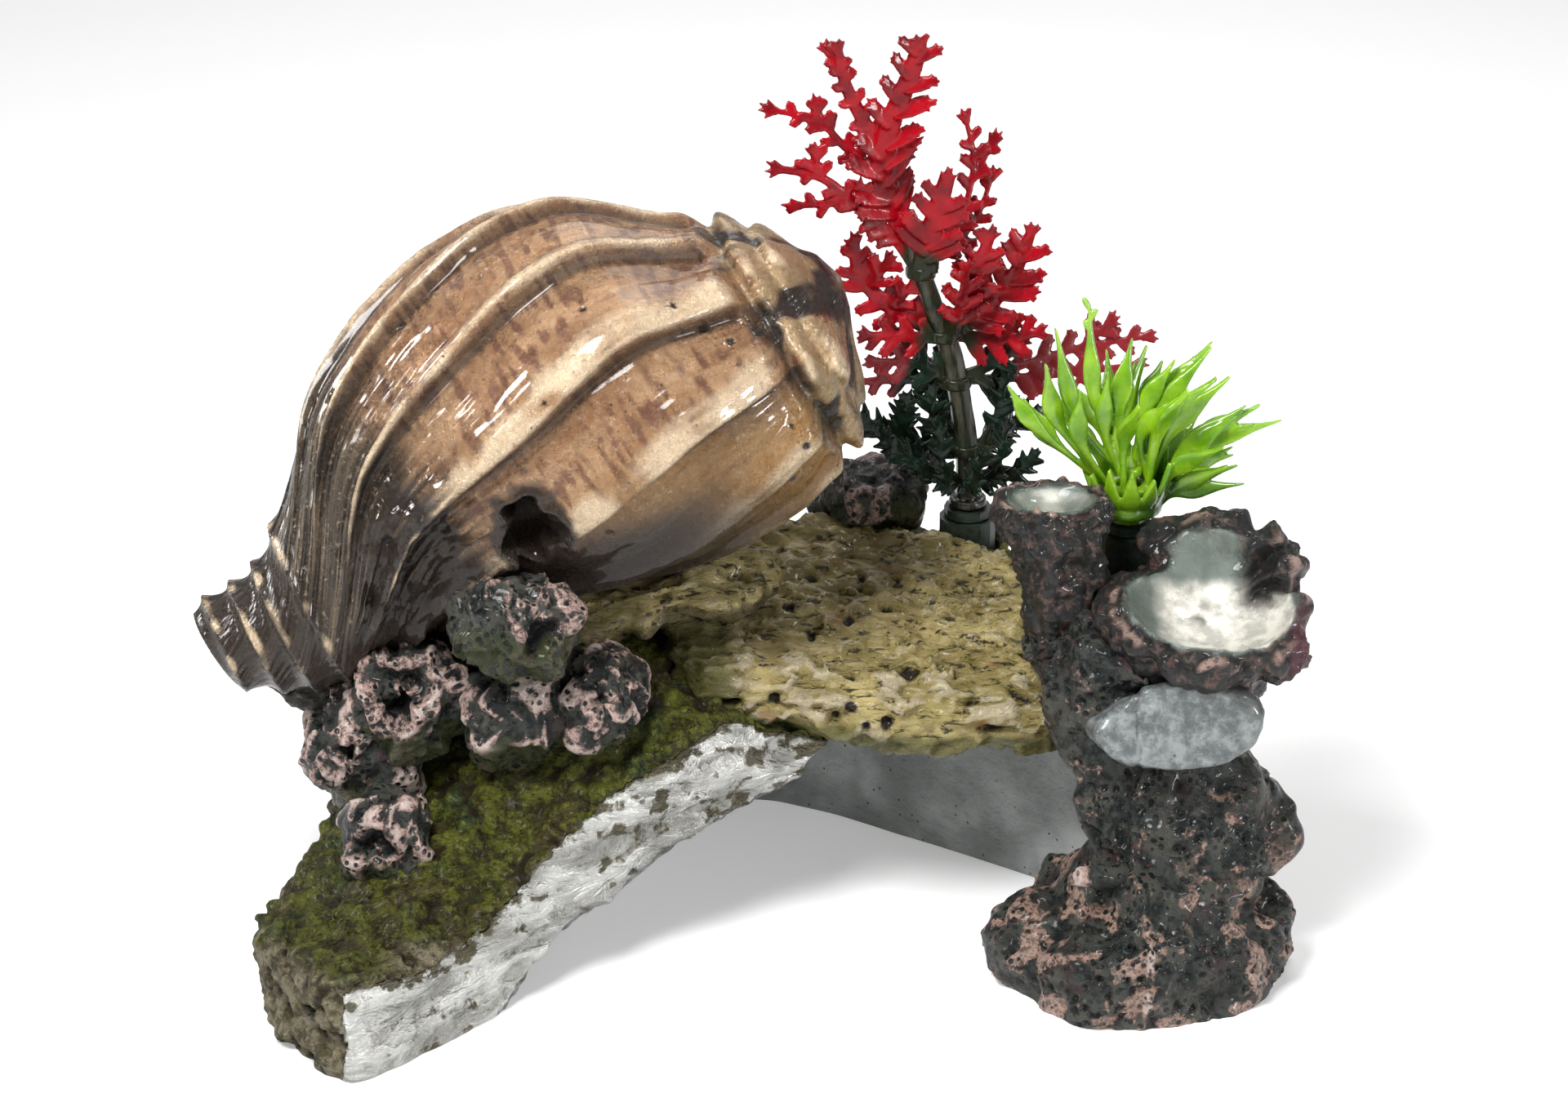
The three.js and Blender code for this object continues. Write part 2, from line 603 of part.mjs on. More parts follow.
function inletConnector() {
  const { wallInside, wallOutside } = INLET;
  const bore = 0.9;
  return alongInlet([
    [bore, wallInside - 5], [1.3, wallInside - 5], [1.7, wallInside - 3.5],
    [1.45, wallInside - 3.5], [1.45, wallInside], [2.2, wallInside], [2.2, wallOutside + 1],
    [4.2, wallOutside + 1], [4.2, wallOutside + 2.4], [2, wallOutside + 2.4], [2, wallOutside + 6],
    [2.7, wallOutside + 6], [2, wallOutside + 9], [bore, wallOutside + 9],
  ]);
}

function inletGrommet(grow = 0) {
  const { wallInside, wallOutside } = INLET;
  const bore = grow > 0 ? 0 : 2.2 + SEAT_GAP;
  const neck = 3.9 + grow;
  return alongInlet([
    [bore, wallInside - grow], [neck, wallInside - grow], [neck, wallOutside + 0.7],
    [bore, wallOutside + 0.7],
  ]);
}

function airStone() {
  const { x, y } = CHIMNEY;
  const { radius, bottom, top } = STONE;
  return turned([[0, bottom], [radius - 0.5, bottom], [radius, bottom + 0.6],
    [radius, top - 0.6], [radius - 0.5, top], [0, top]], 14).translate([x, y, 0]);
}

function stoneNipple() {
  const { bottom } = STONE;
  const top = bottom - SEAT_GAP;
  return turned([
    [0.9, top - 7], [1.6, top - 7], [1.6, top - 1.2], [3, top - 1.2], [3, top], [0.9, top],
  ], 14).translate([CHIMNEY.x, CHIMNEY.y, 0]);
}

function airTube() {
  const start = STONE.bottom - SEAT_GAP - 1.8;
  const path = [
    [CHIMNEY.x, CHIMNEY.y, start], [CHIMNEY.x, CHIMNEY.y + 0.5, start - 8],
    [CHIMNEY.x + 1, CHIMNEY.y + 7, 9], [-27, 26, 10], [INLET.x, 35, INLET.z],
    [INLET.x, INLET.wallInside - 3.4, INLET.z], [INLET.x, INLET.wallInside - 0.4, INLET.z],
  ];
  const options = { sides: 8, steps: 14, reference: [1, 0, 0] };
  const outside = rod(path, [AIRLINE.radius, AIRLINE.radius], options);
  const [first, last] = [path[0], path.at(-1)];
  const through = [[first[0], first[1], first[2] + 1], ...path.slice(1, -1),
    [last[0], last[1] + 1, last[2]]];
  return outside.subtract(rod(through, [AIRLINE.bore, AIRLINE.bore], options));
}

// ---- Assembly ------------------------------------------------------------------------------------

const ornament = new THREE.Group();

function add(name, solid, color, roughness = 0.7, metalness = 0) {
  const material = new THREE.MeshStandardMaterial({ color, roughness, metalness });
  const mesh = new THREE.Mesh(toGeometry(solid), material);
  mesh.name = name;
  ornament.add(mesh);
}

const bronze = 0x9a7042;
const moss = 0x5d6522;
const bark = 0x8d7a45;
const sand = 0x3a332b;
const coral = 0x54413f;
const pearl = 0xc9c6bb;
const crimson = 0xb01226;
const darkLeaf = 0x1e3a2a;
const lime = 0x7fd321;
const resinGrey = 0x7d8c90;
const clear = 0xc8d6d8;

const passage = bubblePassage();
const shellSeat = harpShell(SEAT_GAP + SHELL_CHORD, false);
const columnTools = [
  sawnDisc(SEAT_GAP), branchPeg(SEAT_GAP), pearlCup(SEAT_GAP, false), smallCup(SEAT_GAP, false),
  socket(TUFT, SEAT_GAP),
];
const columnSeat = coralColumn(SEAT_GAP);
const coralSeats = Object.keys(LEFT_CORALS).map((name) => leftCoral(name, SEAT_GAP));
const bridgeSeat = driftwoodBridge(SEAT_GAP);
const beddingSeat = shellBedding(SEAT_GAP);

add('harp_shell', cut(harpShell(), passage), bronze, 0.35, 0.3);
add('sawn_disc', sawnDisc(), resinGrey, 0.3);
add('branch_peg', branchPeg(), coral);
add('small_cup', cut(smallCup(), pearlCup(SEAT_GAP, false)), pearl, 0.3);
add('pearl_cup', largestPiece(cut(pearlCup(), socket(TUFT, SEAT_GAP), sawnDisc(SEAT_GAP))),
  pearl, 0.25);
add('coral_column', largestPiece(cut(coralColumn(), columnTools)), coral, 0.6);
add('driftwood_bridge', largestPiece(cut(driftwoodBridge(), shellSeat, columnSeat, coralSeats,
  columnTools, socket(PLANT, SEAT_GAP))), bark);
Object.keys(LEFT_CORALS).forEach((name, index) => {
  add(name, largestPiece(cut(leftCoral(name), shellSeat, passage, coralSeats.slice(0, index))),
    coral, 0.6);
});
add('shell_bedding', largestPiece(cut(shellBedding(), shellSeat, passage, coralSeats,
  bridgeSeat)), sand, 0.9);
add('rock_base', largestPiece(cut(rockBase(), shellSeat, passage, coralSeats, bridgeSeat,
  beddingSeat, columnSeat, columnTools, socket(PLANT, SEAT_GAP), inletGrommet(SEAT_GAP))),
  moss, 0.8);

add('red_plant_socket', socket(PLANT), darkLeaf);
add('red_plant_plug', plug(PLANT), darkLeaf);
add('red_plant_stem', plantStem(), darkLeaf);
add('red_crown_frond', crownFrond(), crimson, 0.45);
for (const [name, [height, tips, width]] of Object.entries(WHORLS)) {
  add(name, whorl(height, tips, width), height > DARK_LEAVES_BELOW ? crimson : darkLeaf, 0.45);
}

add('tuft_socket', socket(TUFT), darkLeaf);
add('tuft_plug', plug(TUFT), darkLeaf);
add('tuft_stalk', tuftStalk(), lime, 0.4);
for (const [name, [height, reach, tips]] of Object.entries(TUFT_LAYERS)) {
  add(name, leafLayer(height, reach, tips), lime, 0.4);
}

add('inlet_connector', inletConnector(), clear, 0.3);
add('inlet_grommet', inletGrommet(), sand, 0.7);
add('air_tube', airTube(), clear, 0.3);
add('air_stone', airStone(), pearl, 0.95);
add('air_stone_nipple', stoneNipple(), clear, 0.4);

// The origin is the middle of the floor area that the ornament covers.
const box = new THREE.Box3().setFromObject(ornament);
const centre = box.getCenter(new THREE.Vector3());
ornament.position.set(-centre.x, -centre.y, -box.min.z);

export default ornament;
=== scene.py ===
"""Looks of the bubbling ornament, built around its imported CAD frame.

Working units are millimetres in the part's own design frame, where the plant's socket stands at
PLANT_FOOT; `row` turns them into metres in the row frame.
"""

import math
from types import SimpleNamespace

import bmesh
import bpy
import numpy as np
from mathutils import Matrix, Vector


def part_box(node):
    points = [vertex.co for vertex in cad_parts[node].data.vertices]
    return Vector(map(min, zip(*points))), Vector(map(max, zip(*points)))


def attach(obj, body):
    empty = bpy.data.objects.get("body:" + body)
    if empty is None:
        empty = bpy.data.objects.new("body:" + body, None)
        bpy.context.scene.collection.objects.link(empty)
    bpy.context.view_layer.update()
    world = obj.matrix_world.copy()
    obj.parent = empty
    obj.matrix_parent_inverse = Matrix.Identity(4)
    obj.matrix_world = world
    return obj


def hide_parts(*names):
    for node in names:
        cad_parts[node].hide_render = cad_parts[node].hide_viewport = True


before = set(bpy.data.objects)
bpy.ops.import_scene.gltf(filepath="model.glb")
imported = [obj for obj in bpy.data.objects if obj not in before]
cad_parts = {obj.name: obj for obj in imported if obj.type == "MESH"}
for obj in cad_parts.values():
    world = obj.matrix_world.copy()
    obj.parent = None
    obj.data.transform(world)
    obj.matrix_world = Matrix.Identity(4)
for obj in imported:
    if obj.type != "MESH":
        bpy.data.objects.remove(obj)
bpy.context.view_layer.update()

# ---- The frame ---------------------------------------------------------------------------

MM = 0.001
PLANT_FOOT = (30.0, 46.0)
socket_low, socket_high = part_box("red_plant_socket")
ORIGIN = np.array([
    (socket_low.x + socket_high.x) / 2 / MM - PLANT_FOOT[0],
    (socket_low.y + socket_high.y) / 2 / MM - PLANT_FOOT[1],
    0.0,
])


def row(point):
    """Metres in the row frame of a point in design millimetres."""
    return Vector((np.asarray(point, float) + ORIGIN) * MM)


# ---- Seeded patterns in space ------------------------------------------------------------

def scatter(cell, seed):
    """Three steady pseudo random numbers from 0 to 1 for each whole-number cell."""
    mixed = (cell[:, 0] * 73856093) ^ (cell[:, 1] * 19349663) ^ (cell[:, 2] * 83492791)
    mixed = (mixed + seed * 9176263) & 0x7FFFFFFF
    columns = []
    for _ in range(3):
        mixed = ((mixed ^ (mixed >> 15)) * 2246822519 + 374761393) & 0x7FFFFFFF
        mixed = ((mixed ^ (mixed >> 13)) * 3266489917) & 0x7FFFFFFF
        columns.append(mixed / 0x7FFFFFFF)
    return np.stack(columns, 1)


def noise(points, size, seed=0):
    """Smooth noise from about -1 to 1 whose lumps are about `size` millimetres across."""
    place = points / np.asarray(size, float)
    base = np.floor(place).astype(np.int64)
    part = place - base
    fade = part ** 3 * (part * (part * 6 - 15) + 10)
    total = np.zeros(len(points))
    for corner in np.ndindex(2, 2, 2):
        step = np.array(corner)
        slope = scatter(base + step, seed) * 2 - 1
        weight = np.where(step, fade, 1 - fade).prod(1)
        total += ((part - step) * slope).sum(1) * weight
    return total * 1.7


def layered(points, size, octaves=3, seed=0):
    """Noise with finer and fainter copies of itself."""
    total = np.zeros(len(points))
    for octave in range(octaves):
        total += noise(points, np.asarray(size, float) / 2 ** octave, seed + octave) / 2 ** octave
    return total


def cells(points, size, seed=0):
    """Distances, in cell sizes, to the nearest and second nearest of scattered centres."""
    place = points / np.asarray(size, float)
    base = np.floor(place).astype(np.int64)
    near = np.full(len(points), 9.0)
    second = np.full(len(points), 9.0)
    for offset in np.ndindex(3, 3, 3):
        cell = base + np.array(offset) - 1
        away = np.linalg.norm(place - cell - scatter(cell, seed), axis=1)
        second = np.minimum(second, np.maximum(near, away))
        near = np.minimum(near, away)
    return near, second


def ease(value, low, high):
    """0 below low, 1 above high and smooth between; low may be the larger."""
    share = np.clip((value - low) / (high - low), 0, 1)
    return share * share * (3 - 2 * share)


def peak(value, middle, half):
    """1 at the middle, falling off on both sides."""
    return np.exp(-((value - middle) / half) ** 2)


def crater(points, at, radius, depth, rim=0.8):
    """An uneven three-cornered hollow with a bumpy rim: its height, rim and hollow."""
    apart = points - np.asarray(at, float)
    turn = np.arctan2(apart[:, 2], apart[:, 0])
    uneven = 1 + 0.2 * np.cos(3 * turn + at[0]) + 0.35 * noise(points, radius * 1.2, 4)
    away = np.linalg.norm(apart, axis=1) * uneven
    edge = peak(away, radius * 1.15, 0.33 * radius)
    edge *= 0.75 + 0.6 * noise(points, 1.3, 8)
    hollow = ease(away, radius, 0.5 * radius)
    return rim * edge - depth * hollow, edge, hollow


# ---- Meshes ------------------------------------------------------------------------------

def new_piece(name, mesh):
    piece = bpy.data.objects.new(name, mesh)
    bpy.context.scene.collection.objects.link(piece)
    return piece


def mesh_of(name, points, faces):
    """A smooth-shaded mesh from design millimetres."""
    mesh = bpy.data.meshes.new(name)
    placed = (np.asarray(points, float) + ORIGIN) * MM
    mesh.from_pydata(placed.tolist(), [], faces)
    mesh.validate()
    mesh.polygons.foreach_set("use_smooth", [True] * len(mesh.polygons))
    return mesh


def applied(piece):
    """The same piece with its modifiers made real."""
    graph = bpy.context.evaluated_depsgraph_get()
    done = bpy.data.meshes.new_from_object(piece.evaluated_get(graph))
    piece.modifiers.clear()
    old = piece.data
    piece.data = done
    bpy.data.meshes.remove(old)
    done.polygons.foreach_set("use_smooth", [True] * len(done.polygons))
    return piece


def moulded(piece, voxel, smooth, finer=0):
    """Fuses a piece into one skin of even quads, and rounds it off. Sizes in millimetres."""
    remesh = piece.modifiers.new("remesh", "REMESH")
    remesh.mode = "VOXEL"
    remesh.voxel_size = voxel * MM
    if smooth:
        soften = piece.modifiers.new("soften", "SMOOTH")
        soften.factor = 0.5
        soften.iterations = smooth
    if finer:
        refine = piece.modifiers.new("refine", "SUBSURF")
        refine.levels = finer
        refine.render_levels = finer
    return applied(piece)


def copy_of(name, node):
    """A new mesh with the shape of a CAD node."""
    mesh = bpy.data.meshes.new(name)
    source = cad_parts[node].data
    mesh.from_pydata([vertex.co.copy() for vertex in source.vertices], [],
                     [list(face.vertices) for face in source.polygons])
    mesh.validate()
    return new_piece(name, mesh)


def capped_tube(rings, sides):
    """The same with a face on each end."""
    last = (rings - 1) * sides
    return tube_faces(rings, sides) + [tuple(range(sides - 1, -1, -1)),
                                       tuple(range(last, last + sides))]


def tube_faces(rings, sides, start=0):
    """Quads that join rings of points one after another."""
    faces = []
    for ring in range(rings - 1):
        for side in range(sides):
            here = start + ring * sides + side
            beside = start + ring * sides + (side + 1) % sides
            faces.append((here, beside, beside + sides, here + sides))
    return faces


FOOT_DEPTH = 4.0       # how far a copy's foot is lowered before it is rounded off
GROUND_NEAR = 0.3      # vertices lower than this stand on the ground


def lower_foot(piece):
    """Lowers the vertices on the ground, so that rounding off does not lift the foot's edge."""
    points = points_of(piece)
    points[:, 2] -= FOOT_DEPTH * (points[:, 2] < GROUND_NEAR)
    set_points(piece, points)
    return piece


def cut_foot(piece):
    """Cuts a piece off level with the ground and closes the cut."""
    work = bmesh.new()
    work.from_mesh(piece.data)
    cut = bmesh.ops.bisect_plane(work, geom=[*work.verts, *work.edges, *work.faces],
                                 plane_co=(0, 0, 0), plane_no=(0, 0, -1), clear_outer=True)
    rim = [item for item in cut["geom_cut"] if isinstance(item, bmesh.types.BMEdge)]
    filled = bmesh.ops.triangle_fill(work, use_beauty=True, edges=rim, normal=(0, 0, -1))
    for item in filled["geom"]:
        if isinstance(item, bmesh.types.BMFace):
            item.smooth = False
    for edge in rim:
        edge.smooth = False
    work.to_mesh(piece.data)
    work.free()


def points_of(piece):
    flat = np.empty(len(piece.data.vertices) * 3)
    piece.data.vertices.foreach_get("co", flat)
    return flat.reshape(-1, 3) / MM - ORIGIN


def normals_of(piece):
    flat = np.empty(len(piece.data.vertices) * 3)
    piece.data.vertex_normals.foreach_get("vector", flat)
    return flat.reshape(-1, 3)


def set_points(piece, points):
    piece.data.vertices.foreach_set("co", ((points + ORIGIN) * MM).ravel())
    piece.data.update()


def mark(piece, name, values):
    """Stores a value from 0 to 1 on each vertex, for the piece's material."""
    layer = piece.data.attributes.new(name, "FLOAT", "POINT")
    layer.data.foreach_set("value", np.clip(values, 0, 1).astype(np.float32))


def wander(points, size, seeds):
    """Small steps in three directions that are added to points to bend a pattern."""
    return np.stack([noise(points, size, seed) for seed in seeds], 1)


def raise_skin(piece, heights):
    """Moves each vertex along its normal by so many millimetres."""
    set_points(piece, points_of(piece) + normals_of(piece) * heights[:, None])


def mount(piece, body, slot, material, *nodes):
    """Puts a finished piece on its body, in place of the CAD nodes that it stands for."""
    piece.data.materials.clear()
    piece.data.materials.append(material)
    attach(piece, body)
    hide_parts(*nodes)


# ---- Materials ---------------------------------------------------------------------------

class Look:
    """A node material built in layers. Sizes are in millimetres, colours are linear RGB.

    Where a value is asked for, a word stands for the mark of that name on the piece.
    """

    def __init__(self, name, **settings):
        self.material = bpy.data.materials.new(name)
        self.material.use_nodes = True
        self.tree = self.material.node_tree
        self.shader = self.tree.nodes["Principled BSDF"]
        self.coordinates = self.tree.nodes.new("ShaderNodeTexCoord").outputs["Object"]
        for socket, value in settings.items():
            self.shader.inputs[socket.replace("_", " ")].default_value = value

    def node(self, kind, **inputs):
        made = self.tree.nodes.new(kind)
        for name, value in inputs.items():
            self.feed(made.inputs[name.replace("_", " ")], value)
        return made

    def feed(self, socket, value):
        if isinstance(value, str):
            value = self.mark(value)
        if isinstance(value, bpy.types.NodeSocket):
            self.tree.links.new(value, socket)
        elif isinstance(value, tuple) and len(value) == 3 and socket.type == "RGBA":
            socket.default_value = (*value, 1)
        else:
            socket.default_value = value

    def noise(self, size, detail=4.0, roughness=0.55, distortion=0.0, stretch=None):
        vector = self.coordinates
        if stretch:
            vector = self.node("ShaderNodeMapping", Vector=vector, Scale=stretch).outputs[0]
        made = self.node("ShaderNodeTexNoise", Vector=vector, Scale=1 / (size * MM), Detail=detail,
                         Roughness=roughness, Distortion=distortion)
        return made.outputs["Fac"]

    def spots(self, size):
        made = self.node("ShaderNodeTexVoronoi", Vector=self.coordinates, Scale=1 / (size * MM))
        return made.outputs["Distance"]

    def mark(self, name):
        made = self.node("ShaderNodeAttribute")
        made.attribute_name = name
        return made.outputs["Fac"]

    def ramp(self, value, low, high, start=0.0, end=1.0):
        """Goes smoothly from start to end while the value goes from low to high."""
        made = self.node("ShaderNodeMapRange", Value=value)
        made.interpolation_type = "SMOOTHSTEP"
        for name, number in (("From Min", low), ("From Max", high), ("To Min", start),
                             ("To Max", end)):
            made.inputs[name].default_value = number
        return made.outputs[0]

    def uneven(self, size, least, most, detail=4.0):
        """A value that wanders between two limits."""
        return self.ramp(self.noise(size, detail), 0.35, 0.65, least, most)

    def math(self, operation, first, second):
        made = self.node("ShaderNodeMath")
        made.operation = operation
        made.use_clamp = True
        self.feed(made.inputs[0], first)
        self.feed(made.inputs[1], second)
        return made.outputs[0]

    def times(self, first, second):
        return self.math("MULTIPLY", first, second)

    def mix(self, share, first, second):
        made = self.node("ShaderNodeMix")
        made.data_type = "RGBA"
        self.feed(made.inputs[0], share)
        self.feed(made.inputs[6], first)
        self.feed(made.inputs[7], second)
        return made.outputs[2]

    def layers(self, colour, *rows):
        """A colour with others laid over it, one row each.

        A row is a share and a colour, or a value, the two numbers that it passes between, the
        most that the colour may cover if that isn't all, and the colour.
        """
        for *where, paint in rows:
            share = where[0] if len(where) == 1 else self.ramp(*where[:3], 0, *where[3:])
            colour = self.mix(share, colour, paint)
        return colour

    def bump(self, height, distance, strength=1.0):
        """Adds relief of so many millimetres."""
        under = self.shader.inputs["Normal"]
        made = self.node("ShaderNodeBump", Strength=strength, Distance=distance * MM, Height=height)
        if under.is_linked:
            self.tree.links.new(under.links[0].from_socket, made.inputs["Normal"])
        self.tree.links.new(made.outputs[0], under)

    def paint(self, colour, roughness, metallic=0.0):
        self.feed(self.shader.inputs["Base Color"], colour)
        self.feed(self.shader.inputs["Roughness"], roughness)
        self.feed(self.shader.inputs["Metallic"], metallic)
        return self.material


def shell_look():
    look = Look("bronze_shell_lacquer", Coat_Weight=0.45, Coat_Roughness=0.08)
    grain = look.noise(0.9, 6, 0.75)
    scratch = look.ramp("scratch", 0.35, 0.85)
    dusty = look.mix(scratch, (0.01, 0.007, 0.005), (0.105, 0.082, 0.055))
    # Pinholes: dark dots that are painted shade inside small holes.
    pinholes = look.times(look.ramp(look.spots(1.6), 0.14, 0.06),
                          look.ramp(look.noise(3), 0.5, 0.58))
    lit = look.times(look.ramp(grain, 0.56, 0.7, 0, 0.6), look.ramp("painted_shell_shade", 0.7, 0.2))
    colour = look.layers(
        (0.3, 0.15, 0.068),
        (look.noise(8, 4), 0.36, 0.64, (0.49, 0.29, 0.155)),
        ("bars", 0.05, 0.7, 0.9, (0.17, 0.07, 0.038)),
        ("ochre", 0, 1, 0.75, (0.3, 0.16, 0.04)),
        ("spire", 0.2, 0.9, 0.85, (0.36, 0.25, 0.13)),
        ("canal", 0, 1, dusty),
        # Pale scratches: wear, whose pale colour is partly a painted highlight.
        (look.times(scratch, 0.25), (0.6, 0.42, 0.26)),
        # Painted highlight on the crests of the ribs, the spire's lumps and the canal's steps.
        ("crest", 0.2, 0.8, 0.95, (0.74, 0.57, 0.38)),
        # Painted shade in the hollows, beside the ribs and on the belly that is turned away from
        # the light.
        ("painted_shell_shade", 0.08, 0.85, (0.022, 0.013, 0.008)),
        # Painted shade in the pinholes.
        (pinholes, (0.03, 0.018, 0.01)),
        (lit, (0.78, 0.64, 0.46)),
        (grain, 0.45, 0.3, 0.7, (0.07, 0.035, 0.018)))
    look.bump(look.times(grain, look.ramp("spire", 0, 1, 1, 0.45)), 0.55)
    look.bump(look.noise(0.4, 3, 0.7), 0.16)
    return look.paint(colour, look.uneven(1.6, 0.13, 0.4), look.ramp("painted_shell_shade", 0.2, 0.8, 0.6, 0.4))


def moss_colours(look, fine, medium):
    return look.layers(
        (0.042, 0.038, 0.006),
        (medium, 0.4, 0.6, (0.13, 0.14, 0.013)),
        (look.noise(9, 3), 0.56, 0.66, 0.6, (0.012, 0.04, 0.022)),
        (look.noise(7, 3), 0.5, 0.62, 0.85, (0.075, 0.055, 0.02)),
        ("clump", 0.2, 0.9, 0.6, (0.19, 0.215, 0.022)),
        (fine, 0.53, 0.66, 0.8, (0.2, 0.24, 0.04)),
        (fine, 0.46, 0.36, 0.95, (0.01, 0.01, 0.004)))


def bare_rock_colours(look, fine, medium):
    return look.layers(
        (0.1, 0.08, 0.035),
        (medium, 0.4, 0.6, (0.3, 0.26, 0.16)),
        (fine, 0.55, 0.68, 0.75, (0.5, 0.45, 0.32)),
        (fine, 0.44, 0.36, 0.8, (0.03, 0.022, 0.008)),
        ("clump", 0.2, 0.9, 0.5, (0.46, 0.41, 0.29)))


def silver_colours(look, flow, medium):
    stain = look.math("ADD", "stain", look.ramp(medium, 0.3, 0.7, -0.3, 0.3))
    return look.layers(
        (0.3, 0.3, 0.275),
        (flow, 0.38, 0.6, (0.64, 0.645, 0.615)),
        (stain, 0.45, 0.7, 0.9, (0.06, 0.045, 0.014)))


def cave_colours(look):
    # Pinholes: dark dots that are painted shade inside small holes.
    pinholes = look.times(look.ramp(look.spots(1.5), 0.16, 0.08),
                          look.ramp(look.noise(4), 0.48, 0.56))
    return look.layers(
        (0.22, 0.235, 0.225),
        (look.noise(14, 3), 0.35, 0.7, (0.5, 0.52, 0.51)),
        # Painted shade in the pinholes.
        (pinholes, (0.05, 0.045, 0.035)))


def rock_look():
    look = Look("mossy_cast_rock", Coat_Weight=0.04, Coat_Roughness=0.12, Specular_IOR_Level=0.25)
    fine = look.noise(0.8, 5, 0.75)
    medium = look.noise(2.6, 4, 0.65)
    flow = look.noise(4.6, 5, 0.6, 0.5, (0.4, 0.4, 1))
    colour = look.layers(
        bare_rock_colours(look, fine, medium),
        ("moss", 0.3, 0.7, moss_colours(look, fine, medium)),
        # Painted shade in pits and in the crevices between the clumps.
        ("pit", 0.1, 0.8, (0.025, 0.016, 0.005)),
        ("grey", look.mix("cave", silver_colours(look, flow, medium), cave_colours(look))))
    relief = look.ramp("grey", 0.1, 0.7, 1, 0.3)
    look.bump(look.times(medium, relief), 1.8)
    look.bump(look.times(fine, relief), 1.2)
    look.bump(look.times(look.noise(0.35, 2), relief), 0.15, 0.6)
    look.bump(look.times(flow, look.ramp("cave", 0, 1, 1, 0.12)), 3.6)
    return look.paint(colour, look.ramp("grey", 0.2, 0.8, 0.6, 0.12),
                      look.times("grey", look.ramp("cave", 0, 1, 0.8, 0.1)))


def coral_look(name, pink=(0.66, 0.44, 0.38)):
    look = Look(name, Coat_Weight=0.16, Coat_Roughness=0.12, Specular_IOR_Level=0.35)
    fine = look.noise(0.7, 5, 0.75)
    islands = look.noise(4.5, 3)
    blotches = look.ramp(look.noise(1.8, 5, 0.7), 0.5, 0.68, 0, 0.4)
    patches = look.ramp(look.math("ADD", "crest", blotches), 0.42, 0.75)
    # Holes: small dents in the bump, painted dark as the shade inside them.
    holes = look.times(look.ramp(look.spots(1.15), 0.42, 0.28), look.ramp(islands, 0.4, 0.5))
    colour = look.layers(
        (0.008, 0.013, 0.012),
        (look.noise(2.4, 4, 0.65), 0.42, 0.6, (0.055, 0.062, 0.053)),
        (look.noise(6, 3), 0.54, 0.64, 0.6, (0.055, 0.03, 0.028)),
        (islands, 0.48, 0.6, 0.7, (0.1, 0.1, 0.08)),
        (look.times(patches, look.ramp(fine, 0.4, 0.56, 0.1, 1)), pink),
        ("crest", 0.8, 1, 0.75, (0.85, 0.7, 0.63)),
        ("green", 0.2, 0.9, 0.9, (0.045, 0.055, 0.014)),
        # Painted shade in the holes.
        (holes, (0.006, 0.008, 0.007)),
        # Painted shade in pits, crater hollows and between folds.
        ("pit", 0.15, 0.7, (0.01, 0.013, 0.012)),
        (look.noise(1.7, 3), 0.63, 0.7, 0.35, (0.2, 0.05, 0.09)))
    look.bump(look.math("SUBTRACT", fine, look.times(holes, 0.6)), 0.8)
    return look.paint(colour, look.uneven(1.1, 0.25, 0.5))


def bark_look(name):
    look = Look(name, Coat_Weight=0.16, Coat_Roughness=0.14, Specular_IOR_Level=0.35)
    streaks = look.noise(1.2, 5, 0.7, 0.5, (0.3, 1, 1))
    colour = look.layers(
        (0.265, 0.21, 0.062),
        (look.noise(8, 3), 0.38, 0.62, (0.5, 0.4, 0.16)),
        (streaks, 0.47, 0.38, 0.95, (0.018, 0.012, 0.003)),
        (streaks, 0.53, 0.66, 0.7, (0.48, 0.4, 0.24)),
        ("crest", 0.45, 0.95, 0.8, (0.54, 0.46, 0.31)),
        # Green: moss on the bedding, painted shade on the bridge's underside and ends.
        ("green", 0.2, 0.9, 0.8, (0.075, 0.08, 0.016)),
        (look.noise(5, 3), 0.64, 0.72, 0.5, (0.34, 0.14, 0.05)),
        # Painted shade in knot holes, between fibres and on the underside.
        ("pit", 0.2, 0.8, (0.015, 0.01, 0.003)))
    look.bump(streaks, 1.1)
    look.bump(look.noise(0.5, 3), 0.15, 0.8)
    return look.paint(colour, look.uneven(1.5, 0.3, 0.55))


def pearl_look():
    look = Look("pearl_bowl_and_coral_rim", Coat_Weight=0.3, Coat_Roughness=0.08,
                Specular_IOR_Level=0.4)
    fine = look.noise(0.7, 5, 0.75)
    rim = look.layers(
        (0.007, 0.008, 0.007),
        (look.noise(1.9, 4, 0.65), 0.5, 0.62, (0.11, 0.06, 0.048)),
        ("crest", 0.4, 0.9, 0.9, (0.48, 0.32, 0.26)),
        (fine, 0.47, 0.38, 0.85, (0.01, 0.012, 0.01)),
        ("tip", 0.3, 0.9, 0.3, (0.22, 0.03, 0.07)),
        # Painted shade in pits and between folds.
        ("pit", 0.2, 0.8, (0.008, 0.009, 0.008)))
    cream = look.layers(
        (0.5, 0.49, 0.43),
        (look.noise(3, 4), 0.38, 0.62, (0.86, 0.83, 0.74)),
        ("teal", 0.2, 0.9, 0.9, (0.09, 0.125, 0.11)))
    look.bump(look.times(fine, look.ramp("pearl", 0, 1, 1, 0.3)), 0.6)
    return look.paint(look.mix("pearl", rim, cream), look.ramp("pearl", 0.2, 0.8, 0.42, 0.16),
                      look.ramp("pearl", 0.2, 0.8, 0, 0.3))


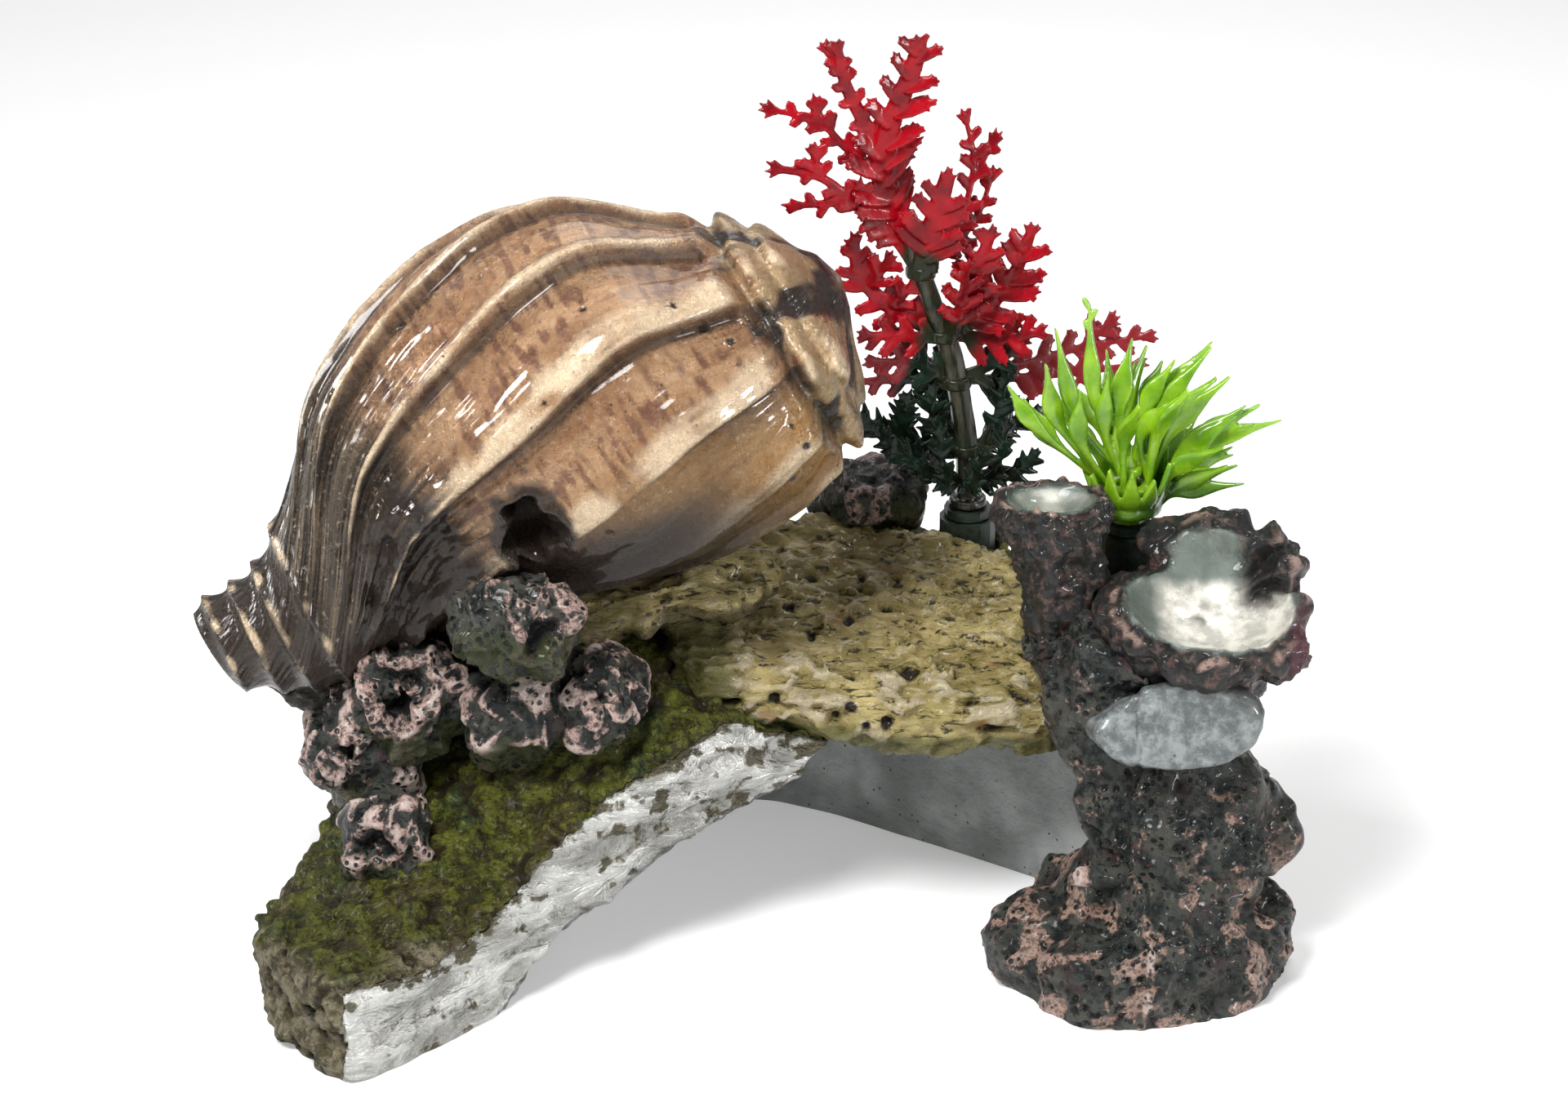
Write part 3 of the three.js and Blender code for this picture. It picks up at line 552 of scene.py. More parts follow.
def branch_end_look():
    look = Look("mottled_branch_end", Coat_Weight=0.4, Coat_Roughness=0.14)
    mottle = look.noise(2.2, 6, 0.7, 0.2)
    colour = look.layers(
        (0.09, 0.105, 0.105),
        (mottle, 0.38, 0.64, (0.27, 0.295, 0.295)),
        ("rim", 0.3, 0.9, 0.8, (0.04, 0.045, 0.04)),
        (look.spots(3.2), 0.12, 0.06, 0.8, (0.05, 0.03, 0.015)))
    look.bump(mottle, 0.6, 0.8)
    look.bump(look.noise(0.7, 3), 0.15, 0.7)
    return look.paint(colour, look.uneven(1.4, 0.25, 0.45))


DARK_GREEN = ((0.01, 0.03, 0.017), (0.004, 0.008, 0.006), (0.03, 0.055, 0.04))
CRIMSON = ((0.39, 0.001, 0.009), (0.17, 0.001, 0.005), (0.5, 0.05, 0.06))
DULL_RED = (0.3, 0.02, 0.03)


def frond_look(name, body, dark, edge, tips=None):
    """Soft glossy plastic, with painted light showing through its thin edges; `tips` is a colour
    for the far ends.
    """
    look = Look(name, Coat_Weight=0.16, Coat_Roughness=0.07, Subsurface_Weight=0.1,
                Subsurface_Scale=0.0015, Specular_IOR_Level=0.2)
    look.shader.inputs["Subsurface Radius"].default_value = (1.0, 0.3, 0.2)
    colour = look.layers(
        dark,
        (look.noise(3.5, 3), 0.35, 0.65, body),
        ("root", 0.2, 0.9, (0.02, 0.024, 0.012)),
        # Painted light showing through the thin edges.
        ("edge", 0.45, 0.95, 0.85, edge))
    if tips:
        colour = look.layers(colour, ("tip", 0.45, 0.85, 0.9, tips))
    look.bump(look.noise(0.8, 3), 0.08, 0.5)
    return look.paint(colour, look.uneven(1.5, 0.22, 0.38))


def stem_look():
    look = Look("ribbed_stem_plastic", Coat_Weight=0.2, Coat_Roughness=0.2)
    streak = look.noise(0.9, 4, 0.6, 0.2, (1, 1, 0.15))
    colour = look.layers(
        (0.012, 0.016, 0.009),
        (streak, 0.4, 0.62, (0.07, 0.062, 0.034)),
        (look.noise(6, 2), 0.45, 0.6, 0.7, (0.02, 0.04, 0.018)))
    look.bump(streak, 0.15, 0.7)
    return look.paint(colour, 0.32)


def lime_look(node):
    look = Look(node + "_plastic", Coat_Weight=0.45, Coat_Roughness=0.1, Subsurface_Weight=0.3,
                Subsurface_Scale=0.003)
    look.shader.inputs["Subsurface Radius"].default_value = (0.5, 1.0, 0.1)
    colour = look.layers(
        (0.13, 0.31, 0.003),
        (look.noise(5, 3), 0.35, 0.65, (0.29, 0.52, 0.012)),
        ("tip", 0.3, 1, 0.5, (0.37, 0.6, 0.1)),
        ("root", 0, 0.9, 0.9, (0.03, 0.1, 0.006)))
    look.bump(look.noise(0.9, 3), 0.1, 0.5)
    return look.paint(colour, look.uneven(1.8, 0.2, 0.36))


def plain_look(name, dark, light, rough, size=1.5, relief=0.05, **settings):
    """A mottled plastic, rubber or stone for small moulded parts."""
    look = Look(name, **settings)
    grain = look.noise(size, 4, 0.6)
    look.bump(look.noise(size * 0.4, 3), relief, 0.6)
    return look.paint(look.layers(dark, (grain, 0.35, 0.65, light)),
                      look.ramp(grain, 0.3, 0.7, rough, rough + 0.12))


# ---- The harp shell ----------------------------------------------------------------------

SHELL_END = np.array([-74.3, 6.0, 44.3])
SHELL_SPIRE = np.array([9.0, 22.0, 94.0])
SHELL_CROWN = np.array([0.0, 0.42, 0.91])
SHELL_RINGS = 225
RIBS = 11
RIB_SAMPLES = 34       # points of a ring from one rib to the next
RIB_HEIGHT = 2.2
RIB_PHASE = 18.5
RIB_TWIST = 70.0
MAP_RADIUS = 26        # of the tube that the shell's scratches are laid out on
# Place along the axis, radius over the crests, shift towards the crown.
SHELL_SECTIONS = [
    (0, 5.6, 0), (0.12, 9.4, -3), (0.2, 13.3, -0.3), (0.3, 19.2, 3.9), (0.4, 22.8, 5.3),
    (0.55, 27.6, 3.8), (0.65, 28.8, 2.5), (0.75, 27.2, 0.3), (0.82, 23.7, -2.7),
    (0.89, 19.2, -4.5), (0.94, 14.6, -4.2), (0.97, 10, -3.2), (1, 4.4, -2.3),
]
# Height and width of each rib, starting from the one nearest the crown.
RIB_SIZES = [
    (1.15, 1.9), (1.35, 2.6), (1.75, 5.6), (1.65, 5.4), (1.4, 4.0), (1.1, 2.6), (1.3, 3.4),
    (1.2, 2.6), (1.3, 3.4), (1.1, 2.6), (1.2, 2.2),
]
CANAL_STEPS = (0.012, 0.055, 0.097, 0.145)
STEP_HEIGHT = 1.6
# Troughs around the spire: place, half width and depth.
TROUGHS = ((0.895, 0.01, 1.3), (0.937, 0.006, 0.8))
# Rows of lumps around the spire: place, half width, number and turn.
SPIRE_LUMPS = ((0.916, 0.02, 6, 0.6), (0.957, 0.017, 5, 1.7))
LUMP_HEIGHT = 2.7
MOUTH = (-29.5, -9.0, 67.0)
MOUTH_SIZES = (4.4, 6, 6.0)
MOUTH_DEPTH = 7.5


def smooth_rows(rows, share):
    """Values at `share` on a smooth line through rows of place and values."""
    rows = np.array(rows, float)
    place, values = rows[:, 0], rows[:, 1:]
    slopes = np.gradient(values, place, axis=0)
    index = np.clip(np.searchsorted(place, share, side="right") - 1, 0, len(place) - 2)
    width = (place[index + 1] - place[index])[:, None]
    part = ((share - place[index]) / width[:, 0])[:, None]
    return ((2 * part ** 3 - 3 * part ** 2 + 1) * values[index]
            + (part ** 3 - 2 * part ** 2 + part) * width * slopes[index]
            + (3 * part ** 2 - 2 * part ** 3) * values[index + 1]
            + (part ** 3 - part ** 2) * width * slopes[index + 1])


def shell_grid():
    """Where each point of the shell lies: rings along the axis, from the canal to the spire."""
    grid = SimpleNamespace()
    along = SHELL_SPIRE - SHELL_END
    grid.length = np.linalg.norm(along)
    grid.along = along / grid.length
    crown = SHELL_CROWN - grid.along * (SHELL_CROWN @ grid.along)
    crown /= np.linalg.norm(crown)
    samples = RIBS * RIB_SAMPLES
    share = np.linspace(0, 1, SHELL_RINGS)
    radius, shift = smooth_rows(SHELL_SECTIONS, share).T
    bend = 900 * np.maximum(0, 0.36 - share) ** 2
    start = RIB_PHASE + RIB_TWIST * (0.75 - share) + bend
    sample = np.arange(samples)
    rib = np.round(sample / RIB_SAMPLES)
    grid.share = np.repeat(share, samples)
    grid.radius = np.repeat(radius, samples)
    grid.angle = np.radians(np.repeat(start, samples)
                            + np.tile(360 * sample / samples, SHELL_RINGS))
    grid.turned = (np.degrees(grid.angle) + 180) % 360 - 180
    grid.phase = np.tile(sample / RIB_SAMPLES - rib, SHELL_RINGS)
    grid.arc = grid.phase * 2 * np.pi * grid.radius / RIBS
    sizes = np.array(RIB_SIZES)[np.tile(rib.astype(int) % RIBS, SHELL_RINGS)]
    grid.rib_height = sizes[:, 0]
    grid.narrow = 0.3 + 0.7 * ease(grid.share, 0.22, 0.62)
    grid.width = np.where(grid.arc < 0, sizes[:, 1] * grid.narrow, 0.35 + 0.75 * grid.narrow)
    grid.crest = np.exp(-np.abs(grid.arc / grid.width) ** 3)
    grid.rise = ease(grid.share, 0.13, 0.36) * (1 - ease(grid.share, 0.86, 0.9))
    grid.steps = [step + 0.012 * np.cos(grid.angle - 0.8) for step in CANAL_STEPS]
    middle = SHELL_END + np.outer(grid.share * grid.length, grid.along)
    grid.outward = np.outer(np.cos(grid.angle), crown) \
        + np.outer(np.sin(grid.angle), np.cross(grid.along, crown))
    grid.round_skin = middle + grid.outward * grid.radius[:, None]
    grid.centre = middle + np.outer(np.repeat(shift, samples), crown)
    around = np.radians(360 * np.tile(sample, SHELL_RINGS) / samples) * MAP_RADIUS
    grid.flat_map = np.stack([grid.share * grid.length, around, 0 * grid.arc], 1)
    return grid


def shell_skin(grid):
    """The skin with its ribs, its steps at the canal, and its troughs and lumps at the spire."""
    reach = grid.radius - RIB_HEIGHT * grid.rise
    reach += RIB_HEIGHT * grid.crest * grid.rib_height \
        * (grid.rise + 0.2 * peak(grid.share, 0.872, 0.016))
    reach -= 0.5 * np.cos(grid.phase * 2 * np.pi) * grid.rise
    for step in grid.steps:
        reach += STEP_HEIGHT * np.exp(-np.maximum(0, step - grid.share) / 0.005
                                      - np.maximum(0, grid.share - step) / 0.02)
    for place, half, depth in TROUGHS:
        reach -= depth * peak(grid.share, place, half)
    grid.lumps = np.zeros(len(reach))
    for place, half, count, turn in SPIRE_LUMPS:
        row_of_lumps = 0.5 + 0.5 * np.cos(count * grid.angle + turn
                                          + noise(grid.round_skin, 9, 15))
        grid.lumps += row_of_lumps * peak(grid.share, place, half)
    spire = ease(grid.share, 0.87, 0.9)
    reach += LUMP_HEIGHT * (grid.lumps - 0.35) * spire * ease(grid.share, 1, 0.98)
    return grid.centre + grid.outward * reach[:, None]


def weathered(grid, skin):
    """The same skin after wear: the torn mouth, scratches, pits and a crusted spire."""
    angle = np.degrees(grid.angle)
    grid.weathering = layered(skin, 7, 3, 11)
    growth_map = [grid.share * grid.length, grid.arc * 3, grid.rib_height * 50]
    growth = noise(np.stack(growth_map, 1), (9, 1.6, 5), 3)
    grid.torn = ease(grid.share, 0.5, 0.36) * ease(grid.share, 0.18, 0.26) \
        * ease(angle, 75, 105) * ease(angle, 215, 170)
    grid.scratches = layered(grid.flat_map, (13, 0.8, 5), 2, 47)
    grid.scratches *= 0.35 + 0.65 * ease(noise(grid.flat_map, (12, 6, 5), 48), -0.35, 0.35)
    grid.rough_end = ease(grid.share, 0.875, 0.905)
    grid.crust = layered(skin, (7, 5, 5), 2, 52)
    grid.crevices = grid.rough_end * ease(0.5 * grid.crust + 1.5 * (grid.lumps - 0.5), -0.35, -0.75)
    grid.away = np.linalg.norm((skin - MOUTH) / MOUTH_SIZES, axis=1) + 0.34 * noise(skin, 3, 5)
    grid.hole = ease(grid.away, 1.05, 0.6)
    grid.pits = ease(cells(skin, 6.5, 31)[0], 0.11, 0.06)
    relief = 0.2 * grid.weathering + 0.12 * growth + 0.13 * grid.scratches
    relief += grid.torn * (0.8 * layered(skin, 3.2, 3, 21) + 0.5 * grid.scratches)
    relief += 0.7 * grid.rough_end * grid.crust - 0.4 * grid.crevices
    relief += -MOUTH_DEPTH * grid.hole + 0.7 * peak(grid.away, 1.12, 0.1)
    relief -= 0.5 * grid.pits * (1 - grid.hole)
    return skin + grid.outward * relief[:, None]


def shell_mesh(grid, skin):
    """The skin's rings joined up, with both ends closed."""
    samples = RIBS * RIB_SAMPLES
    ends = [grid.centre[0], grid.centre[-1] + grid.along * 1.2]
    faces = tube_faces(SHELL_RINGS, samples)
    last = (SHELL_RINGS - 1) * samples
    for side in range(samples):
        beside = (side + 1) % samples
        faces.append((len(skin), beside, side))
        faces.append((len(skin) + 1, last + side, last + beside))
    return mesh_of("shell", np.concatenate([skin, ends]), faces)


def shell_ridge_highlights(grid, skin):
    """Painted highlight on the ridges: the ribs, the lumps of the spire and the steps of the canal.
    """
    crests = grid.crest ** 2 * grid.rise \
        * (0.75 + 0.6 * noise(skin, 5, 9) + 0.25 * grid.scratches)
    crests += 0.7 * grid.rough_end * ease(0.4 * grid.crust + grid.lumps, 0.55, 1.05)
    for step in grid.steps:
        edge = np.exp(-((grid.share - step - 0.003) / 0.008) ** 2)
        crests += 0.8 * edge * (0.5 + 1.1 * noise(skin, 3, 6))
    return crests


def shell_painted_shade(grid, skin, crests):
    """Painted shade: dark in the mouth, beside the ribs, in the torn part, on the belly, in pits
    and in crevices.
    """
    side = np.abs(grid.turned)
    # Painted shade: under and over lie beside each rib, low is the belly turned away from the
    # light, fallen is the gaps between the rib ends.
    under = peak(grid.arc, grid.width * 1.4, 0.6 + 0.7 * grid.narrow) * (grid.arc > 0) * grid.rise
    over = peak(grid.arc, -grid.width * 1.5, 1.1) * (grid.arc < 0) * grid.rise
    low = ease(side, 122, 150) * ease(grid.share, 0.97, 0.6)
    fallen = ease(grid.share, 0.862, 0.885) * ease(grid.share, 0.93, 0.9) * (1 - grid.crest)
    return np.maximum.reduce([
        grid.hole, 0.6 * under, 0.2 * over, 0.8 * low, grid.pits, grid.crevices,
        grid.torn * ease(grid.weathering, 0.6, -0.4),
        fallen * (0.6 + 0.5 * noise(skin, 4, 14)),
        ease(grid.away + 0.3 * noise(skin, 2, 25), 1.8, 1.1) * 0.8,
        ease(grid.share, 0.34, 0.2) * ease(side, 100, 150) * 0.7,
        0.6 * ease(grid.share, 0.24, 0.12) * (1 - crests.clip(0, 1)),
        0.85 * grid.torn * ease(grid.scratches, 0.4, -0.15),
    ])


def shell_piece():
    grid = shell_grid()
    skin = weathered(grid, shell_skin(grid))
    piece = new_piece("shell", shell_mesh(grid, skin))
    crests = shell_ridge_highlights(grid, skin)
    bars = noise(grid.flat_map, (1.3, 3.6, 5), 41) + 0.6 * noise(grid.flat_map, (0.8, 7, 5), 42)
    patches = ease(noise(grid.flat_map, (11, 9, 5), 43), -0.6, 0.1)
    # Each mark has a value for every point of the skin and one for each end.
    marks = {
        # The crest mark is a painted highlight on the shell's ridges.
        "crest": (crests, 0, 0),
        "spire": (grid.rough_end * ease(grid.crust, -0.9, 0.2), 0, 1),
        # Painted shade on the shell, which also dulls its metal.
        "painted_shell_shade": (shell_painted_shade(grid, skin, crests), 0.5, 0),
        "bars": (ease(bars, -0.15, 0.6) * patches * ease(grid.share, 0.25, 0.4), 0, 0),
        "scratch": (0.5 + 0.5 * grid.scratches, 0, 0),
        "canal": (ease(grid.share + 0.05 * grid.weathering, 0.52, 0.27), 1, 0),
        "ochre": (ease(np.abs(grid.turned), 108, 130) * ease(grid.share, 0.45, 0.7), 0, 0),
    }
    for name, (values, first, last) in marks.items():
        mark(piece, name, np.concatenate([values, [first, last]]))
    mount(piece, "ornament", "bronze_shell", shell_look(), "harp_shell")


# ---- The rock ----------------------------------------------------------------------------

CAVE_MIDDLE = np.array([-6.0, 14.0, 6.0])
BAND_WAY = np.array([0.55, -0.83, 0.0])    # the way that the grey front edge of the rock faces
CLUMP_SIZE = 2.3
CLUMP_HEIGHT = 1.9
ROCK_PIT_SIZE = 3.4
ROCK_PIT_DEPTH = 1.9


def rock_piece():
    piece = moulded(lower_foot(copy_of("rock", "rock_base")), voxel=1.4, smooth=6, finer=1)
    points, normals = points_of(piece), normals_of(piece)
    to_cave = CAVE_MIDDLE - points
    inward = (to_cave * normals).sum(1) / np.linalg.norm(to_cave, axis=1)
    cave = ease(inward, 0.12, 0.3) * ease(normals[:, 2], 0.5, 0.2)
    band = ease(normals @ BAND_WAY, 0.2, 0.6) * ease(points[:, 1], 15, 12) \
        * ease(points[:, 0], -63, -54) * ease(normals[:, 2], 0.62, 0.4)
    ragged = 0.4 * layered(points, 4, 3, 7)
    grey = np.maximum(cave, ease(band + ragged, 0.35, 0.6) * ease(normals[:, 2], 0.75, 0.55))
    moss = ease(normals[:, 2] + 0.5 * noise(points, 6, 2), 0.2, 0.55)
    front = ease(points[:, 1], -16, -24) * ease(points[:, 2], 17, 12)
    moss = moss * (1 - 0.85 * front)
    rough = 1 - grey
    clumps = cells(points, CLUMP_SIZE, 5)[0]
    heights = rough * (1.2 * layered(points, 7, 3, 1)
                       + CLUMP_HEIGHT * (0.6 - clumps) * (0.6 + 0.4 * moss))
    heights += rough * front * 1.1 * layered(points, 4.5, 3, 44)
    heights += 1.0 * (grey - cave).clip(0) * layered(points, (10, 10, 5), 3, 6)
    heights += 0.2 * cave * noise(points, 6, 4)
    pits = ease(cells(points, ROCK_PIT_SIZE, 9)[0], 0.4, 0.2) * rough * (1 - 0.85 * moss)
    heights -= ROCK_PIT_DEPTH * pits
    raise_skin(piece, heights * ease(points[:, 2], -2, 2))
    mark(piece, "grey", grey)
    mark(piece, "cave", cave)
    mark(piece, "moss", moss)
    mark(piece, "clump", ease(clumps, 0.42, 0.12))
    # Painted shade in pits and in the crevices between clumps.
    mark(piece, "pit", np.maximum(pits, 0.75 * rough * ease(clumps, 0.62, 0.85)))
    mark(piece, "stain", 0.2 + 0.5 * layered(points, (5, 5, 2.5), 3, 26)
         + 0.45 * ease(normals[:, 2], 0.0, 0.5) + 0.2 * ease(points[:, 0], -30, -10))
    cut_foot(piece)
    mount(piece, "ornament", "mossy_resin", rock_look(), "rock_base")


def bedding_piece():
    piece = moulded(copy_of("bedding", "shell_bedding"), voxel=0.8, smooth=3)
    points, normals = points_of(piece), normals_of(piece)
    grains = cells(points, 2.1, 3)[0]
    fibres = 1 - 2 * np.abs(layered(points, (7, 2.4, 2.4), 3, 4))
    raise_skin(piece, 1.6 * layered(points, 8, 3, 8) + 0.5 * (0.5 - grains) + 1.0 * fibres - 0.6)
    shaded = np.maximum(0.7 * ease(normals[:, 2], 0.1, -0.5), ease(points[:, 0], -30, -38))
    mark(piece, "green", ease(points[:, 0], -16, -30) * ease(noise(points, 5, 6), -0.3, 0.3))
    mark(piece, "crest", 0.7 * ease(fibres, 0.3, 0.9))
    # Painted shade on the underside, at the end under the shell and between the fibres.
    mark(piece, "pit", np.maximum(0.85 * shaded, ease(fibres, -0.4, -1.0)))
    mount(piece, "ornament", "bedding_mortar", bark_look("bark_mortar"), "shell_bedding")


# ---- Driftwood bridge --------------------------------------------------------------------

PLANK_TURN = np.array([[0.97, 0.22, 0], [-0.22, 0.97, 0], [0, 0, 1]])    # brings the grain along x
BROW = (6.5, 2.5)      # place and half width of the bright ridge along the front
FIBRE_HEIGHT = 1.5
KNOT_HOLE_DEPTH = 1.2


def bridge_piece():
    piece = moulded(copy_of("bridge", "driftwood_bridge"), voxel=1.0, smooth=2, finer=1)
    points, normals = points_of(piece), normals_of(piece)
    grain = points @ PLANK_TURN
    bent = grain + 1.1 * wander(points, 6, (31, 32, 33))
    fibres = 1 - 2 * np.abs(layered(bent, (7, 2.3, 2.6), 3, 4))
    ridges = fibres * ease(noise(grain, (5, 3, 3), 9), -0.45, 0.1)
    heights = FIBRE_HEIGHT * ridges + 1.0 * noise(points, 8, 2)
    brow = peak(points[:, 1], *BROW) * ease(points[:, 2], 31, 35)
    pits = ease(cells(points, 5.5, 15)[0], 0.22, 0.13)
    raise_skin(piece, heights - KNOT_HOLE_DEPTH * pits)
    mark(piece, "crest", ease(ridges, 0.3, 0.95) * 0.8 + 0.7 * brow * ease(fibres, -0.3, 0.6))
    # Painted shade: dark olive on the underside and at both ends of the bridge.
    ends = np.maximum(ease(points[:, 0], 2, -8), 0.8 * ease(points[:, 0], 35, 43))
    mark(piece, "green", np.maximum(ease(normals[:, 2], 0.1, -0.5), ends))
    # Painted shade in knot holes and between the fibres.
    mark(piece, "pit", np.maximum(pits, ease(ridges, -0.15, -0.9)))
    mount(piece, "ornament", "bark_resin", bark_look("driftwood_bark"), "driftwood_bridge")


# ---- Corals ------------------------------------------------------------------------------

def coral_skin(points, pit_size, depth, seed):
    """Honeycomb pits between pink crests: their height, crests and pits."""
    near, second = cells(points, pit_size, seed)
    wall = ease(second - near, 0.25, 0.05)
    hollow = ease(near, 0.42, 0.15)
    patch = ease(noise(points, 5 * pit_size, seed + 1), -0.25, 0.15)
    swell = layered(points, 6, 2, seed + 2)
    height = 0.9 * swell + patch * (0.25 * wall - depth * hollow)
    crest = ease(swell, 0.05, 0.7) * (0.45 + 0.55 * wall)
    return height, crest, hollow * patch


COLUMN_PINK = (0.52, 0.33, 0.26)
WAIST_DEPTH = 4.5      # how far the left side is drawn in above the foot
GAP = (13, 2.2)        # height and half height of the gap under the knob on the right
GAP_DEPTH = 2.5
SEAM_X = 52.0
SEAM_HALF = 0.5


def column_piece():
    piece = moulded(lower_foot(copy_of("column", "coral_column")), voxel=0.95, smooth=3, finer=1)
    points = points_of(piece)
    waist = ease(points[:, 2], 8.5, 13.5) * ease(points[:, 2], 27, 17)
    points[:, 0] += WAIST_DEPTH * waist * ease(points[:, 0], 54, 40)
    points[:, 0] -= GAP_DEPTH * peak(points[:, 2], *GAP) * ease(points[:, 0], 58, 68)
    set_points(piece, points)
    normals = normals_of(piece)
    height, crest, pits = coral_skin(points, pit_size=1.7, depth=0.7, seed=3)
    swell = layered(points, 9, 3, 17)
    seam_x = SEAM_X + 1.2 * np.sin(points[:, 2] / 5)
    seam = peak(points[:, 0], seam_x, SEAM_HALF) * ease(-normals[:, 1], 0.1, 0.5)
    raise_skin(piece, (height + 1.7 * swell + 0.9 * seam) * ease(points[:, 2], -2, 2))
    foot = ease(points[:, 2], 22, 8)
    patches = ease(layered(points, 5, 3, 5), -0.05, 0.4)
    mark(piece, "crest", np.maximum(0.5 * crest, patches * (0.45 + 0.4 * foot)) + 0.2 * seam)
    # Painted shade in the honeycomb pits.
    mark(piece, "pit", pits)
    cut_foot(piece)
    mount(piece, "ornament", "coral_resin", coral_look("coral_column", COLUMN_PINK),
          "coral_column")


# Craters of each knot of coral: place, radius and depth.
KNOTS = {
    "coral_double": [((-39, -8, 45), 2.7, 3.8), ((-34, -8.5, 38), 1.5, 1.0),
                     ((-21, -6.5, 42.4), 2.0, 1.5), ((-21.5, -7, 38), 1.5, 1.2)],
    "coral_by_mouth": [((-29, -11.5, 55), 2.9, 1.8), ((-38.5, -10, 52), 1.2, 0.8)],
    "coral_ring": [((-48.5, -3.5, 42), 4.0, 5.0), ((-45, -3, 34), 1.6, 1.5)],
    "coral_knobs": [((-56, -1.5, 32.5), 1.4, 1.4), ((-53, -2, 26.5), 1.3, 1.2),
                    ((-59, 0, 28.5), 1.2, 1.0)],
    "coral_low": [((-51.5, -12, 23), 2.5, 3.2)],
    "coral_behind": [((12, 43, 52), 1.6, 1.4)],
}
# At coral_by_mouth the crests are dimmed as painted shade from the shell above it.
PALENESS = {"coral_by_mouth": 0.68, "coral_behind": 0.8}      # of the crests of the darker knots
BEHIND_TOP = 49.0      # above this height the knot behind is pressed down, under the turning leaves
PRESSED = 0.6          # share of what stands above that height


def knot_piece(node, craters, seed):
    piece = moulded(copy_of("knot_" + node, node), voxel=0.5, smooth=4)
    points = points_of(piece)
    if node == "coral_behind":
        points[:, 2] -= PRESSED * np.maximum(0, points[:, 2] - BEHIND_TOP)
        set_points(piece, points)
    height, crest, pits = coral_skin(points, pit_size=1.5, depth=0.4, seed=seed)
    bent = points + 0.8 * wander(points, 3, range(seed + 1, seed + 4))
    folds = 1 - 2 * np.abs(layered(bent, (3.2, 3.2, 6.5), 2, seed + 6))
    swell = layered(points, 5, 2, seed + 5)
    height = 0.9 + 0.4 * height + 1.4 * swell + 0.9 * folds
    crest = np.maximum(0.4 * crest, ease(folds + 0.6 * swell, 0.4, 1.0))
    for at, radius, depth in craters:
        lift, edge, hollow = crater(points, at, radius, depth)
        height = height * (1 - 0.7 * hollow) + lift
        crest = np.maximum(crest * (1 - hollow), 1.1 * edge)
        pits = np.maximum(pits, 0.9 * hollow)
    raise_skin(piece, height)
    # Crests dimmed by PALENESS: painted shade at coral_by_mouth.
    mark(piece, "crest", crest * PALENESS.get(node, 1.0))
    # Painted shade in pits, crater hollows and between folds.
    mark(piece, "pit", np.maximum(pits, ease(folds, -0.3, -1.0)))
    low = points[:, 2].min()
    mark(piece, "green", ease(points[:, 2] + 1.5 * swell, low + 8, low + 4))
    mount(piece, "ornament", "coral_resin", coral_look("coral_" + node), node)


def peg_piece():
    piece = moulded(copy_of("peg", "branch_peg"), voxel=0.35, smooth=3)
    points = points_of(piece)
    raise_skin(piece, 0.15 * layered(points, 2, 2, 2))
    mark(piece, "crest", ease(points[:, 0], 46, 43.5))
    mark(piece, "pit", 0 * points[:, 0])
    mount(piece, "ornament", "coral_resin", coral_look("coral_peg"), "branch_peg")


DISC_REACH = 12.0      # half the width of the sawn branch end
DISC_RISE = 6.2        # and half its height


def branch_end_piece():
    piece = moulded(copy_of("branch_end", "sawn_disc"), voxel=0.5, smooth=3)
    points = points_of(piece)
    middle = points.mean(0)
    across = (points[:, 0] - middle[0]) / DISC_REACH
    points[:, 2] += 0.7 * across - 0.3 * ease(across, 0, -1) * (points[:, 2] - middle[2])
    set_points(piece, points)
    reach = np.linalg.norm((points - middle) / (DISC_REACH, 99, DISC_RISE), axis=1)
    ragged = layered(points, 5, 3, 6)
    seam = np.exp(-((points[:, 0] - middle[0] + 5 - 0.5 * ragged) / 0.35) ** 2)
    edge = ease(reach, 0.6, 0.95)
    raise_skin(piece, 0.35 * ragged + 1.6 * edge * noise(points, 6, 16) - 0.4 * seam)
    mark(piece, "rim", np.maximum(ease(reach + 0.1 * ragged, 0.84, 1.0), 0.8 * seam))
    mount(piece, "ornament", "cut_branch", branch_end_look(), "sawn_disc")


# ---- Cups --------------------------------------------------------------------------------

